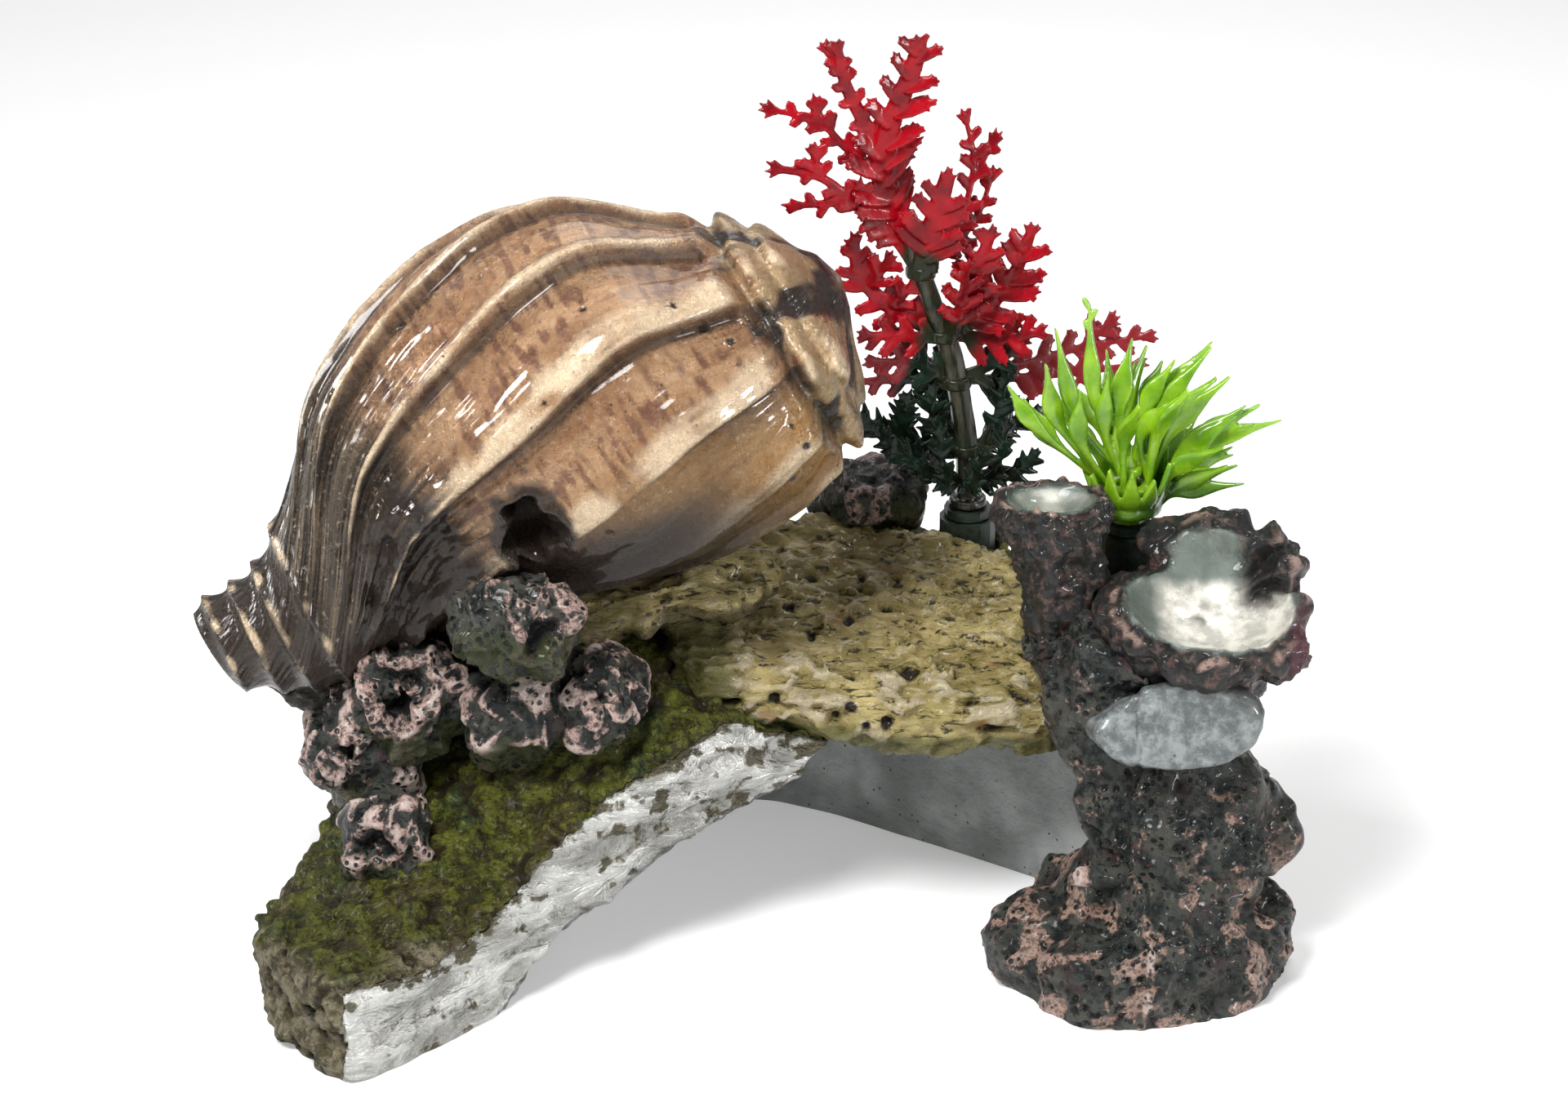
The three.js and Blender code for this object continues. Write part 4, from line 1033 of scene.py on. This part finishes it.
def cup_piece(name, node, bowl, bowl_sizes, tilt, voxel, large):
    """A coral cup with a smooth pearl bowl, the ellipsoid at `bowl`; a large one has lobes."""
    piece = moulded(copy_of(name, node), voxel, smooth=4, finer=1)
    points, normals = points_of(piece), normals_of(piece)
    lean, roll = np.radians(tilt)
    turn_x = np.array([[1, 0, 0], [0, math.cos(lean), -math.sin(lean)],
                       [0, math.sin(lean), math.cos(lean)]])
    turn_y = np.array([[math.cos(roll), 0, math.sin(roll)], [0, 1, 0],
                       [-math.sin(roll), 0, math.cos(roll)]])
    turn = turn_y @ turn_x
    local = (points - np.array(bowl)) @ turn
    depth = np.linalg.norm(local / np.array(bowl_sizes), axis=1)
    upward = normals @ turn[:, 2]
    lobes = ease(points[:, 0] - bowl[0], 3, 6.5) * ease(points[:, 1] - bowl[1], 2, 5) * large
    pearl = ease(depth + 0.06 * noise(points, 2.5, 3), 1.08, 0.99) * ease(upward, -0.1, 0.25)
    pearl *= 1 - lobes
    height, crest, pits = coral_skin(points, pit_size=1.7, depth=0.5, seed=12)
    lip = peak(depth, 1.18, 0.13)
    angle = np.arctan2(local[:, 1], local[:, 0])
    folds = np.sin(angle * 15 + 5 * noise(points, 5, 8)) * ease(noise(points, 7, 18), -0.4, 0.3)
    rough = 1 - pearl
    raise_skin(piece, rough * (0.8 * height + 0.3 * folds * lip + 0.9 * layered(points, 3.5, 3, 2))
               + lobes * (0.8 * folds - 0.6))
    sides = ease(points[:, 0] - bowl[0], -4, -9) + ease(points[:, 1] - bowl[1], 5, 8)
    mark(piece, "pearl", pearl)
    mark(piece, "teal", ease(depth, 0.95, 1.06) + 0.8 * sides + 0.3 * noise(points, 4, 5)
         + 0.6 * (1 - large))
    wall = (1 - large) * ease(depth, 1.25, 1.6)
    crest = np.maximum(0.5 * crest, lip * (0.55 + 0.35 * folds + 0.4 * height)) * (1 - 0.8 * wall)
    mark(piece, "crest", crest)
    # Painted shade in pits and between the folds of the lobes.
    mark(piece, "pit", np.maximum(pits * rough, 0.6 * lobes * ease(folds, 0.3, -0.4)))
    mark(piece, "tip", ease(points[:, 0], 68, 74) * ease(points[:, 1], 4, -2))
    mount(piece, "ornament", "pearl_lacquer", pearl_look(), node)


shell_piece()
rock_piece()
bedding_piece()
bridge_piece()
column_piece()
for seed, (node, craters) in enumerate(KNOTS.items()):
    knot_piece(node, craters, 20 + 7 * seed)
peg_piece()
branch_end_piece()
cup_piece("cup", "pearl_cup", bowl=(61, -1, 57), bowl_sizes=(12.2, 10.5, 7), tilt=(32, 8),
          voxel=0.8, large=1)
cup_piece("cup_small", "small_cup", bowl=(40, 10, 65.8), bowl_sizes=(6, 4.4, 3.4), tilt=(0, 0),
          voxel=0.6, large=0)


# ---- Plastic plants ----------------------------------------------------------------------

FROND_SKIN = 0.22      # size of the quads that a frond is fused into
FROND_HALF = 0.34      # half the thickness of a frond
TOOTH = 2.0            # length of the teeth along a frond
SQUARENESS = 0.5       # 1 gives an oval section, less gives a flatter one
LOBE_SPACING = 2.0
NEEDLE_SPACING = 0.9
BAR_SIDES = 8
FROND_FACE = np.array([0.12, -1.0, 0.25])      # the way that the flat side of a frond faces
LEAF_FACE = np.array([0.1, -1.0, 0.3])
UP = np.array([0.0, 0.0, 1.0])

# Each branch: the points that it runs through, its width at the root and its lobes' reach.
FRONDS = {
    "red_crown_frond": [
        ([(21, 38, 93.6), (19, 37.5, 96), (17, 36, 102), (18, 34, 110), (21, 32, 119),
          (21.8, 31, 123.4)], 4.2, 2.9),
        ([(17, 36, 102), (15, 34.5, 109), (12, 32.5, 116), (10.6, 31, 122.4)], 2.6, 0.7),
        ([(11.6, 32.3, 117.6), (9, 31.5, 122.3)], 0.8, 0.5),
        ([(17, 36, 102.5), (12, 36, 106), (8, 36, 110), (1.2, 36, 111.6)], 1.4, 1.1),
        ([(9, 36, 108.5), (7.5, 36, 112.6)], 1.3, 1.2),
    ],
    "red_upper_whorl": [
        ([(22, 39, 87), (19, 37.5, 92), (15, 36, 96), (9, 34.5, 102), (2, 33.5, 104)], 2.0, 1.1),
        ([(8.5, 34.5, 102), (7.5, 34, 106.6)], 1.4, 1.2),
        ([(12, 35, 98.5), (4.5, 34, 98.2)], 1.4, 0.9),
        ([(15, 36, 95.5), (14, 35.5, 100.6)], 1.6, 1.1),
        ([(23, 38, 87), (24, 36, 94), (26, 34.5, 102.5)], 4.2, 2.5),
        ([(23.5, 41, 87), (28, 44, 92), (30, 46, 100), (28.6, 46, 107.4)], 1.2, 1.5),
        ([(30, 46, 97.5), (33, 47, 103.6)], 1.0, 0.8),
        ([(24, 42, 86.5), (30, 46, 91), (33, 48.5, 98)], 1.2, 1.3),
    ],
    "red_middle_whorl": [
        ([(27, 42, 76), (32, 41.5, 80), (36, 41, 86), (38.2, 41, 92.4)], 2.8, 2.9),
        ([(27.5, 41, 76.5), (30, 38.5, 86), (32.4, 37.5, 93.2)], 2.8, 2.2),
        ([(27, 40.5, 76.5), (28.4, 37.5, 83), (28.8, 36.5, 88.6)], 2.0, 2.1),
        ([(26, 42, 76), (18, 40.5, 81), (14, 40, 86), (13.2, 40, 91)], 2.8, 1.9),
        ([(18.5, 40.5, 80.5), (22, 39.5, 85)], 1.8, 1.5),
        ([(15.5, 40, 84), (18.4, 39, 88.6)], 1.7, 1.3),
        ([(26, 41.5, 75.5), (20, 38.5, 77), (14.4, 36.5, 78)], 2.0, 1.9),
        ([(27.5, 43, 75.5), (34, 42.5, 75), (40, 41.5, 76.5)], 2.2, 2.2),
    ],
    "red_lower_whorl": [
        ([(27, 43, 68), (21, 42, 69), (13.6, 42, 68.6)], 1.9, 1.5),
        ([(27, 43, 68.5), (22, 40.5, 72), (15.6, 39, 73)], 1.8, 1.9),
        ([(28, 44, 68), (40, 48, 67), (54.6, 49.8, 68)], 1.6, 1.9),
        ([(35, 46.5, 68.5), (46, 50, 70.6), (56, 50, 72.4)], 1.4, 1.9),
        ([(46, 50, 70.4), (50.5, 50, 75)], 1.3, 1.7),
        ([(28, 43.5, 68.5), (34, 44, 71), (37.6, 44, 74.6)], 1.9, 1.7),
        ([(27, 44.5, 68), (22, 48, 71), (18, 50, 75)], 1.8, 1.6),
    ],
    "red_basal_whorl": [
        ([(29.3, 45, 56.6), (24, 44.5, 57.6), (19, 44, 59.6), (13.4, 43, 63)], 2.4, 1.5),
        ([(20, 44, 59.4), (21, 43, 66)], 1.9, 1.4),
        ([(29, 44.6, 57), (25.4, 43, 60), (24.4, 42, 67.6)], 2.1, 1.9),
        ([(30, 45, 57), (33.4, 45.4, 59), (34.8, 45.4, 67.6)], 2.1, 1.9),
        ([(30, 45, 56.6), (35, 47.5, 59), (40.2, 49.6, 61)], 1.9, 1.6),
        ([(29, 45, 56.4), (23, 43, 57), (18.5, 40, 59.4)], 2.0, 1.2),
        ([(29.5, 46, 57), (27, 49, 61), (25, 51, 66.6)], 2.0, 1.6),
        ([(29.4, 45, 52), (25, 41.5, 55), (19, 40, 59.4), (14.6, 39.5, 64)], 1.6, 1.0),
        ([(29.6, 44.8, 52), (26.6, 41, 54), (25.6, 40, 62)], 1.5, 1.3),
        ([(30.6, 44.8, 52), (33.6, 42, 54.5), (35.2, 41.6, 62.5)], 1.5, 1.3),
        ([(30, 44.6, 51.8), (30.4, 41, 53), (32, 39.4, 58.6)], 1.4, 1.2),
        ([(31, 45.6, 52), (36, 44.4, 53), (39.4, 43.4, 56.6)], 1.4, 1.1),
        ([(29, 45.4, 51.8), (26, 43.4, 53), (23, 40.6, 56)], 1.4, 1.1),
    ],
}
CROWN_FOOT = np.array([21, 38, 93.4])
HUB_HEIGHTS = {"red_upper_whorl": 86.5, "red_middle_whorl": 76, "red_lower_whorl": 68,
               "red_basal_whorl": 57}
HUB_REACH = 1.8
STEM_LINE = [(30, 46, 48.2), (29.5, 45, 58), (27.2, 43, 72), (24, 40.5, 82), (21, 38, 92)]
STEM_RADII = [1.9, 1.7, 1.6, 1.4, 1.2]


def path_points(path, count):
    """Evenly numbered points on a smooth line through a path's points."""
    rows = [(index, *point) for index, point in enumerate(path)]
    return smooth_rows(rows, np.linspace(0, len(path) - 1, count))


def unit(vector):
    return vector / max(np.linalg.norm(vector), 1e-9)


def strip(points, half_widths, flat_way, half_thick):
    """A flat bar with eight-sided rings along a line: points and faces."""
    count = len(points)
    tangents = np.gradient(points, axis=0)
    ring_points = []
    for index in range(count):
        along = unit(tangents[index])
        across = unit(np.cross(flat_way, along))
        over = np.cross(along, across)
        for side in range(BAR_SIDES):
            angle = side * math.tau / BAR_SIDES
            sideways, upwards = math.cos(angle), math.sin(angle)
            sideways = math.copysign(abs(sideways) ** SQUARENESS, sideways)
            upwards = math.copysign(abs(upwards) ** SQUARENESS, upwards)
            ring_points.append(points[index] + across * half_widths[index] * sideways
                               + over * half_thick * upwards)
    return ring_points, capped_tube(count, BAR_SIDES)


class Bundle:
    """Bars that will be fused into one moulding."""

    def __init__(self):
        self.points, self.faces = [], []

    def add(self, points, half_widths, flat_way, half_thick=FROND_HALF):
        points = np.asarray(points, float)
        ring_points, faces = strip(points, half_widths, flat_way, half_thick)
        start = len(self.points)
        self.points += ring_points
        self.faces += [[start + index for index in face] for face in faces]

    def piece(self, name):
        return new_piece(name, mesh_of(name, self.points, self.faces))


def teeth(bundle, root, along, across, flat_way, length, count, draw):
    """A fan of pointed teeth at the end of a lobe."""
    for index in range(count):
        lean = (index - (count - 1) / 2) * 0.5 + draw.uniform(-0.15, 0.15)
        way = along * math.cos(lean) + across * math.sin(lean)
        reach = length * (1.15 - 0.3 * abs(lean)) * draw.uniform(0.85, 1.15)
        line = [root - way * 0.5, root + way * reach * 0.45, root + way * reach]
        bundle.add(line, (0.55, 0.4, 0.1), flat_way)


def branch(bundle, path, width, lobe_reach, draw, needles):
    """A flat branch with toothed lobes, or with needles, along both sides."""
    count = 4 * len(path) + 2
    points = path_points(path, count)
    flat_way = unit(FROND_FACE + draw.uniform(-0.2, 0.2, 3))
    taper = np.linspace(1, 0.55, count)
    bundle.add(points, taper * (width / 2), flat_way)
    length = np.linalg.norm(np.diff(points, axis=0), axis=1).sum()
    spacing = NEEDLE_SPACING if needles else LOBE_SPACING
    lobes = max(3, int(length / spacing))
    for lobe in range(lobes):
        share = 0.18 + 0.76 * (lobe + draw.uniform(-0.2, 0.2)) / lobes
        index = min(count - 2, max(1, int(share * (count - 1))))
        along = unit(points[index + 1] - points[index - 1])
        sideways = unit(np.cross(flat_way, along))
        side = 1 if lobe % 2 else -1
        root = points[index]
        if needles:
            way = unit(along * 0.9 + sideways * side + flat_way * draw.uniform(-0.5, 0.7))
            tip = root + way * (lobe_reach + width / 2 + draw.uniform(0.3, 1.1))
            bundle.add([root, (root + tip) / 2, tip], (0.6, 0.55, 0.14), flat_way)
            continue
        swell = math.sin(math.pi * min(1, 0.2 + 0.8 * share)) ** 0.6
        reach = lobe_reach * swell * draw.uniform(0.75, 1.1)
        way = unit(along * 0.8 + sideways * side + flat_way * draw.uniform(0, 0.05))
        tip = root + way * (reach + taper[index] * width / 2)
        plump = min(1.3, 0.36 * reach + 0.3)
        bundle.add([root, (root + tip) / 2, tip], (plump * 0.8, plump * 1.05, plump), flat_way)
        over = unit(np.cross(flat_way, way))
        count_of_teeth = 5 if reach > 2.2 else 4
        teeth(bundle, tip, way, over, flat_way, min(TOOTH, 0.7 + 0.4 * reach), count_of_teeth, draw)
    along = unit(points[-1] - points[-2])
    sideways = unit(np.cross(flat_way, along))
    teeth(bundle, points[-1] - along * 1.0, along, sideways, flat_way, TOOTH, 4, draw)


def stem_at(height):
    line = path_points(STEM_LINE, 81)
    return line[np.argmin(np.abs(line[:, 2] - height))]


def ring_around(middle, reach, count):
    """Points of a level ring whose first and last points are the same."""
    return [middle + (reach * math.cos(turn), reach * math.sin(turn), 0)
            for turn in np.linspace(0, 2 * math.pi, count)]


def whorl_piece(node, seed):
    draw = np.random.default_rng(seed)
    bundle = Bundle()
    for path, width, lobe_reach in FRONDS[node]:
        branch(bundle, path, width, lobe_reach, draw, node == "red_basal_whorl")
    if node in HUB_HEIGHTS:
        centre = stem_at(HUB_HEIGHTS[node])
        bundle.add(ring_around(centre, HUB_REACH, 13), [0.45] * 13, UP, 0.9)
    else:
        centre = CROWN_FOOT
        bundle.add([centre + (0, 0, -0.3), centre + (-0.5, 0, 2.4)], (1.5, 1.2),
                   np.array([0, 1.0, 0]), 1.3)
    piece = moulded(bundle.piece(node + "_leaves"), FROND_SKIN, smooth=1)
    points, normals = points_of(piece), normals_of(piece)
    away = np.linalg.norm(points - centre, axis=1)
    facing = np.abs(normals @ unit(FROND_FACE))
    # Painted light: paler along the thin edges on the underside, where light shows through.
    mark(piece, "edge", ease(facing, 0.75, 0.3) * ease(-normals[:, 2], -0.2, 0.5))
    mark(piece, "root", ease(away, 7.5, 2.5) * (node in HUB_HEIGHTS))
    mark(piece, "tip", ease(away, 5, 12))
    dark = node in ("red_lower_whorl", "red_basal_whorl")
    tips = DULL_RED if node == "red_lower_whorl" else None
    look = frond_look(node + "_plastic", *(DARK_GREEN if dark else CRIMSON), tips)
    mount(piece, "red_plant", "dark_leaf_plastic" if dark else "crimson_plastic", look, node)


STEM_STEPS = 90
STEM_SIDES = 32
COLLAR_FOOT = 46.0     # height of the collar's seat above the ground
# Reach and height of the pin and the collar over that seat, from the pin's end upwards.
COLLAR = [(0, -2.6), (1, -2.6), (1, 1.9), (2.7, 1.9), (2.8, 2.2), (2.6, 3.1), (0, 3.1)]


def ribbed_stem_points():
    line = path_points(STEM_LINE, STEM_STEPS)
    radii = smooth_rows(list(enumerate(STEM_RADII)),
                        np.linspace(0, len(STEM_RADII) - 1, STEM_STEPS))[:, 0]
    tangents = np.gradient(line, axis=0)
    points = []
    for index in range(STEM_STEPS):
        along = unit(tangents[index])
        across = unit(np.cross((0, 1, 0), along))
        over = np.cross(along, across)
        for side in range(STEM_SIDES):
            angle = 2 * math.pi * side / STEM_SIDES
            reach = radii[index] * (0.93 + 0.13 * max(0, math.cos(3 * angle + 0.5)) ** 2)
            points.append(line[index] + across * reach * math.cos(angle)
                          + over * reach * math.sin(angle))
    return points


def collar_points():
    points = []
    for reach, height in COLLAR:
        for side in range(STEM_SIDES):
            angle = 2 * math.pi * side / STEM_SIDES
            points.append((PLANT_FOOT[0] + reach * math.cos(angle),
                           PLANT_FOOT[1] + reach * math.sin(angle), COLLAR_FOOT + height))
    return points


def stem_piece():
    """A stem with ribs along it, down to the collar and pin that it turns on."""
    points = ribbed_stem_points()
    faces = capped_tube(STEM_STEPS, STEM_SIDES) + tube_faces(len(COLLAR), STEM_SIDES, len(points))
    mesh = mesh_of("plant_stem", points + collar_points(), faces)
    piece = moulded(new_piece("plant_stem", mesh), FROND_SKIN, smooth=1)
    raise_skin(piece, 0.05 * layered(points_of(piece), (1.2, 1.2, 6), 2, 4))
    mount(piece, "red_plant", "stem_plastic", stem_look(), "red_plant_stem")


# Spindle leaves of the tuft by layer: the bend and the tip of each.
TUFT_FOOT = (51.0, 19.0, 56.0)
TUFT_LEAVES = {
    "tuft_inner_leaves": (8.4, 2.4, [
        ((46, 19, 76), (45, 20.4, 88.6)), ((43.4, 19, 74), (40.4, 19.6, 86)),
        ((47, 21, 73), (45, 21, 80)), ((49.4, 19, 75), (51, 21, 84)),
        ((50, 21, 72), (53, 23, 80)), ((48.8, 23, 72), (48, 27.6, 79.6)),
        ((47.4, 18, 72), (47.6, 17.4, 80.5)), ((51, 24, 71), (52, 29, 77)),
        ((53, 20, 74), (57, 21.4, 80.6)), ((44, 22, 71), (41.6, 24, 77)),
    ]),
    "tuft_middle_leaves": (5.8, 3.6, [
        ((41, 17.4, 73), (39, 16.6, 82)), ((38.2, 18, 72), (34, 19, 77.8)),
        ((44, 15.8, 71), (43.6, 14.6, 79)), ((55, 20, 73), (62, 22.4, 82)),
        ((56, 22, 74), (61.4, 25.2, 80.4)), ((54, 24, 72), (58, 30.4, 75.6)),
        ((55, 17, 72), (58.4, 14.6, 79)), ((57, 20, 71), (64.6, 21.6, 78)),
        ((50, 16, 71), (51.6, 13, 77.4)), ((47, 24, 70), (43, 29.6, 74)),
        ((54.6, 19, 71), (60, 18.6, 77)), ((40.4, 20.6, 69), (36.4, 23.6, 74)),
    ]),
    "tuft_outer_leaves": (3.2, 4.8, [
        ((58.4, 19.6, 68), (67, 21, 74)), ((62, 20.6, 68.4), (72, 21.8, 71.4)),
        ((58, 20, 66), (65.4, 18.6, 73.4)), ((58.4, 21.4, 65), (66, 23.6, 69)),
        ((58, 19, 63), (66, 19.6, 65.6)), ((57.6, 22, 63), (65.4, 27.4, 67.4)),
        ((55, 26, 65), (54, 34, 68.6)), ((46.4, 25, 66), (40.6, 30.4, 70.6)),
        ((57, 17, 66), (63.4, 13.6, 71)), ((58, 17.6, 62.6), (66.6, 15.6, 64.6)),
        ((50, 27, 66), (47.6, 33.6, 69)), ((57, 24.6, 64), (61.4, 31.4, 68.4)),
    ]),
}
SPRIG = (45, 20.4, 88.6)       # the tip of the one leaf that ends in little forks
LEAF_STEPS = 17
LEAF_HALF = 0.55               # half the thickness of a leaf
LOW_LEAVES = 12                # young leaves in a ring around the outer layer


def spindle_leaf(bundle, line, is_sprig, draw):
    """A leaf that is widest past its middle; the sprig has three little forks at its end."""
    share = np.linspace(0, 1, LEAF_STEPS)
    widths = 0.42 + 1.15 * draw.uniform(0.8, 1.15) * peak(share, 0.64, 0.17)
    widths = widths * (1 - share ** 7) + 0.14 * share ** 7
    face = unit(LEAF_FACE + draw.uniform(-0.35, 0.35, 3))
    bundle.add(line, widths, face, LEAF_HALF)
    if is_sprig:
        for side, share_up in ((-1, 0.93), (1, 0.97), (-1, 1.0)):
            root = line[int((LEAF_STEPS - 1) * share_up)]
            fork = root + np.array([0.9 * side, 0, 1.5])
            bundle.add([root, (root + fork) / 2, fork], (0.4, 0.45, 0.3), face, 0.4)


def low_leaves(bundle, centre, draw):
    for turn in np.linspace(0, 2 * math.pi, LOW_LEAVES, endpoint=False):
        out = np.array([math.cos(turn), math.sin(turn), 0])
        line = path_points([centre + out * 3.4 + (0, 0, 0.9), centre + out * 5 + (0, 0, 3.4),
                            centre + out * 6.2 + (0, 0, 7.5 + draw.uniform(-1, 1))], 9)
        bundle.add(line, (0.7, 0.85, 1.1, 1.3, 1.35, 1.2, 0.9, 0.5, 0.14), out, 0.45)


def leaf_layer_piece(node, seed):
    height, reach, leaves = TUFT_LEAVES[node]
    draw = np.random.default_rng(seed)
    centre = np.array(TUFT_FOOT) + (0, 0, height)
    bundle = Bundle()
    between = [tuple((np.array(one) + np.array(two)) / 2 + draw.uniform(-1.2, 1.2, (2, 3)))
               for one, two in zip(leaves, leaves[1:]) if min(one[1][0], two[1][0]) > 46]
    for bend, tip in [*leaves, *between]:
        bend, tip = np.array(bend, float), np.array(tip, float)
        out = unit((bend - centre) * (1, 1, 0))
        root = centre + out * (reach - 0.9) + (0, 0, 0.8)
        line = path_points([root, bend, tip], LEAF_STEPS)
        spindle_leaf(bundle, line, tuple(tip) == SPRIG, draw)
    if node == "tuft_outer_leaves":
        low_leaves(bundle, centre, draw)
    ring = ring_around(centre + (0, 0, 0.8), reach - 1.0, 25)
    half_ring = max(0.45, min(1.0, reach - 1.0 - 1.35))
    bundle.add(ring, [half_ring] * 25, UP, 0.8)
    piece = moulded(bundle.piece(node + "_spindles"), FROND_SKIN, smooth=2)
    points = points_of(piece)
    low = ease(points[:, 2], 69, 60) * ease(points[:, 0], 50, 58)
    mark(piece, "root", 0.75 * low + 0.75 * ease(points[:, 2], 67, 58))
    mark(piece, "tip", ease(np.linalg.norm(points - centre, axis=1), 15, 26))
    mount(piece, "tuft", "lime_plastic", lime_look(node), node)


# ---- CAD parts that keep their shape -----------------------------------------------------

def paint_cad(material, *nodes):
    for node in nodes:
        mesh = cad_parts[node].data
        mesh.materials.clear()
        mesh.materials.append(material)


for seed, node in enumerate(FRONDS):
    whorl_piece(node, 40 + seed)
stem_piece()
for seed, node in enumerate(TUFT_LEAVES):
    leaf_layer_piece(node, 60 + seed)
paint_cad(plain_look("socket_plastic_black", (0.012, 0.02, 0.015), (0.035, 0.05, 0.038), 0.4),
          "red_plant_socket", "red_plant_plug", "tuft_socket", "tuft_plug")
paint_cad(lime_look("tuft_stalk"), "tuft_stalk")
paint_cad(plain_look("clear_fitting", (0.6, 0.67, 0.68), (0.75, 0.8, 0.81), 0.12,
                     Transmission_Weight=0.6), "inlet_connector", "air_stone_nipple")
paint_cad(plain_look("milky_silicone", (0.6, 0.64, 0.62), (0.72, 0.76, 0.75), 0.35,
                     Transmission_Weight=0.3), "air_tube")
paint_cad(plain_look("black_grommet", (0.012, 0.012, 0.012), (0.03, 0.03, 0.03), 0.6),
          "inlet_grommet")
paint_cad(plain_look("sintered_grain", (0.25, 0.26, 0.3), (0.5, 0.52, 0.56), 0.85, 0.7, 0.3),
          "air_stone")


# ---- Studio ------------------------------------------------------------------------------

VIEW_TARGET = (3.5, 5.0, 58.0)
VIEW_DISTANCE = 650.0
VIEW_ELEVATION = 25.0
LENS = 110
SENSOR = 36
FLOOR_REACH = 3.0      # metres from the middle to each side
FLOOR_GREY = (0.86, 0.86, 0.86)
ROOM_LIGHT = 0.2
# Name, place, size in metres and power in watts. The glints show only in reflections.
LAMPS = [
    ("key", (-140, -230, 470), 0.16, 2.9), ("fill", (330, -300, 220), 0.3, 0.55),
    ("back", (60, 330, 420), 0.3, 1.0), ("glint_left", (-390, 95, 255), 0.09, 1.3),
    ("glint_side", (-380, -170, 215), 0.05, 0.35), ("glint_top", (215, 50, 380), 0.05, 0.4),
    ("glint_low", (380, -230, 90), 0.06, 0.7),
]


def add_camera(scene):
    rise = math.radians(VIEW_ELEVATION)
    camera = bpy.data.objects.new("camera", bpy.data.cameras.new("camera"))
    scene.collection.objects.link(camera)
    camera.data.lens = LENS
    camera.data.sensor_width = SENSOR
    camera.data.clip_start = 0.01
    away = np.array([0, -math.cos(rise), math.sin(rise)]) * VIEW_DISTANCE
    camera.location = row(np.array(VIEW_TARGET) + away)
    camera.rotation_euler = (math.pi / 2 - rise, 0, 0)
    scene.camera = camera


def add_floor():
    mesh = bpy.data.meshes.new("floor")
    corners = [(across * FLOOR_REACH, along * FLOOR_REACH, 0)
               for across, along in ((-1, -1), (1, -1), (1, 1), (-1, 1))]
    mesh.from_pydata(corners, [], [(0, 1, 2, 3)])
    floor = new_piece("floor", mesh)
    look = Look("pale_floor", Emission_Color=(1, 1, 1, 1), Emission_Strength=0.3)
    mesh.materials.append(look.paint(FLOOR_GREY, 0.9))


def add_lights(scene):
    world = bpy.data.worlds.new("soft_room")
    scene.world = world
    world.use_nodes = True
    world.node_tree.nodes["Background"].inputs["Color"].default_value = (1, 1, 1, 1)
    world.node_tree.nodes["Background"].inputs["Strength"].default_value = ROOM_LIGHT
    target = row(VIEW_TARGET)
    for name, place, size, power in LAMPS:
        light = bpy.data.lights.new(name, "AREA")
        light.size = size
        light.energy = power
        lamp = bpy.data.objects.new(name, light)
        lamp.visible_diffuse = not name.startswith("glint")
        scene.collection.objects.link(lamp)
        lamp.location = row(place)
        lamp.rotation_euler = (target - lamp.location).to_track_quat("-Z", "Y").to_euler()


add_camera(bpy.context.scene)
add_floor()
add_lights(bpy.context.scene)
bpy.context.scene.view_settings.view_transform = "Standard"
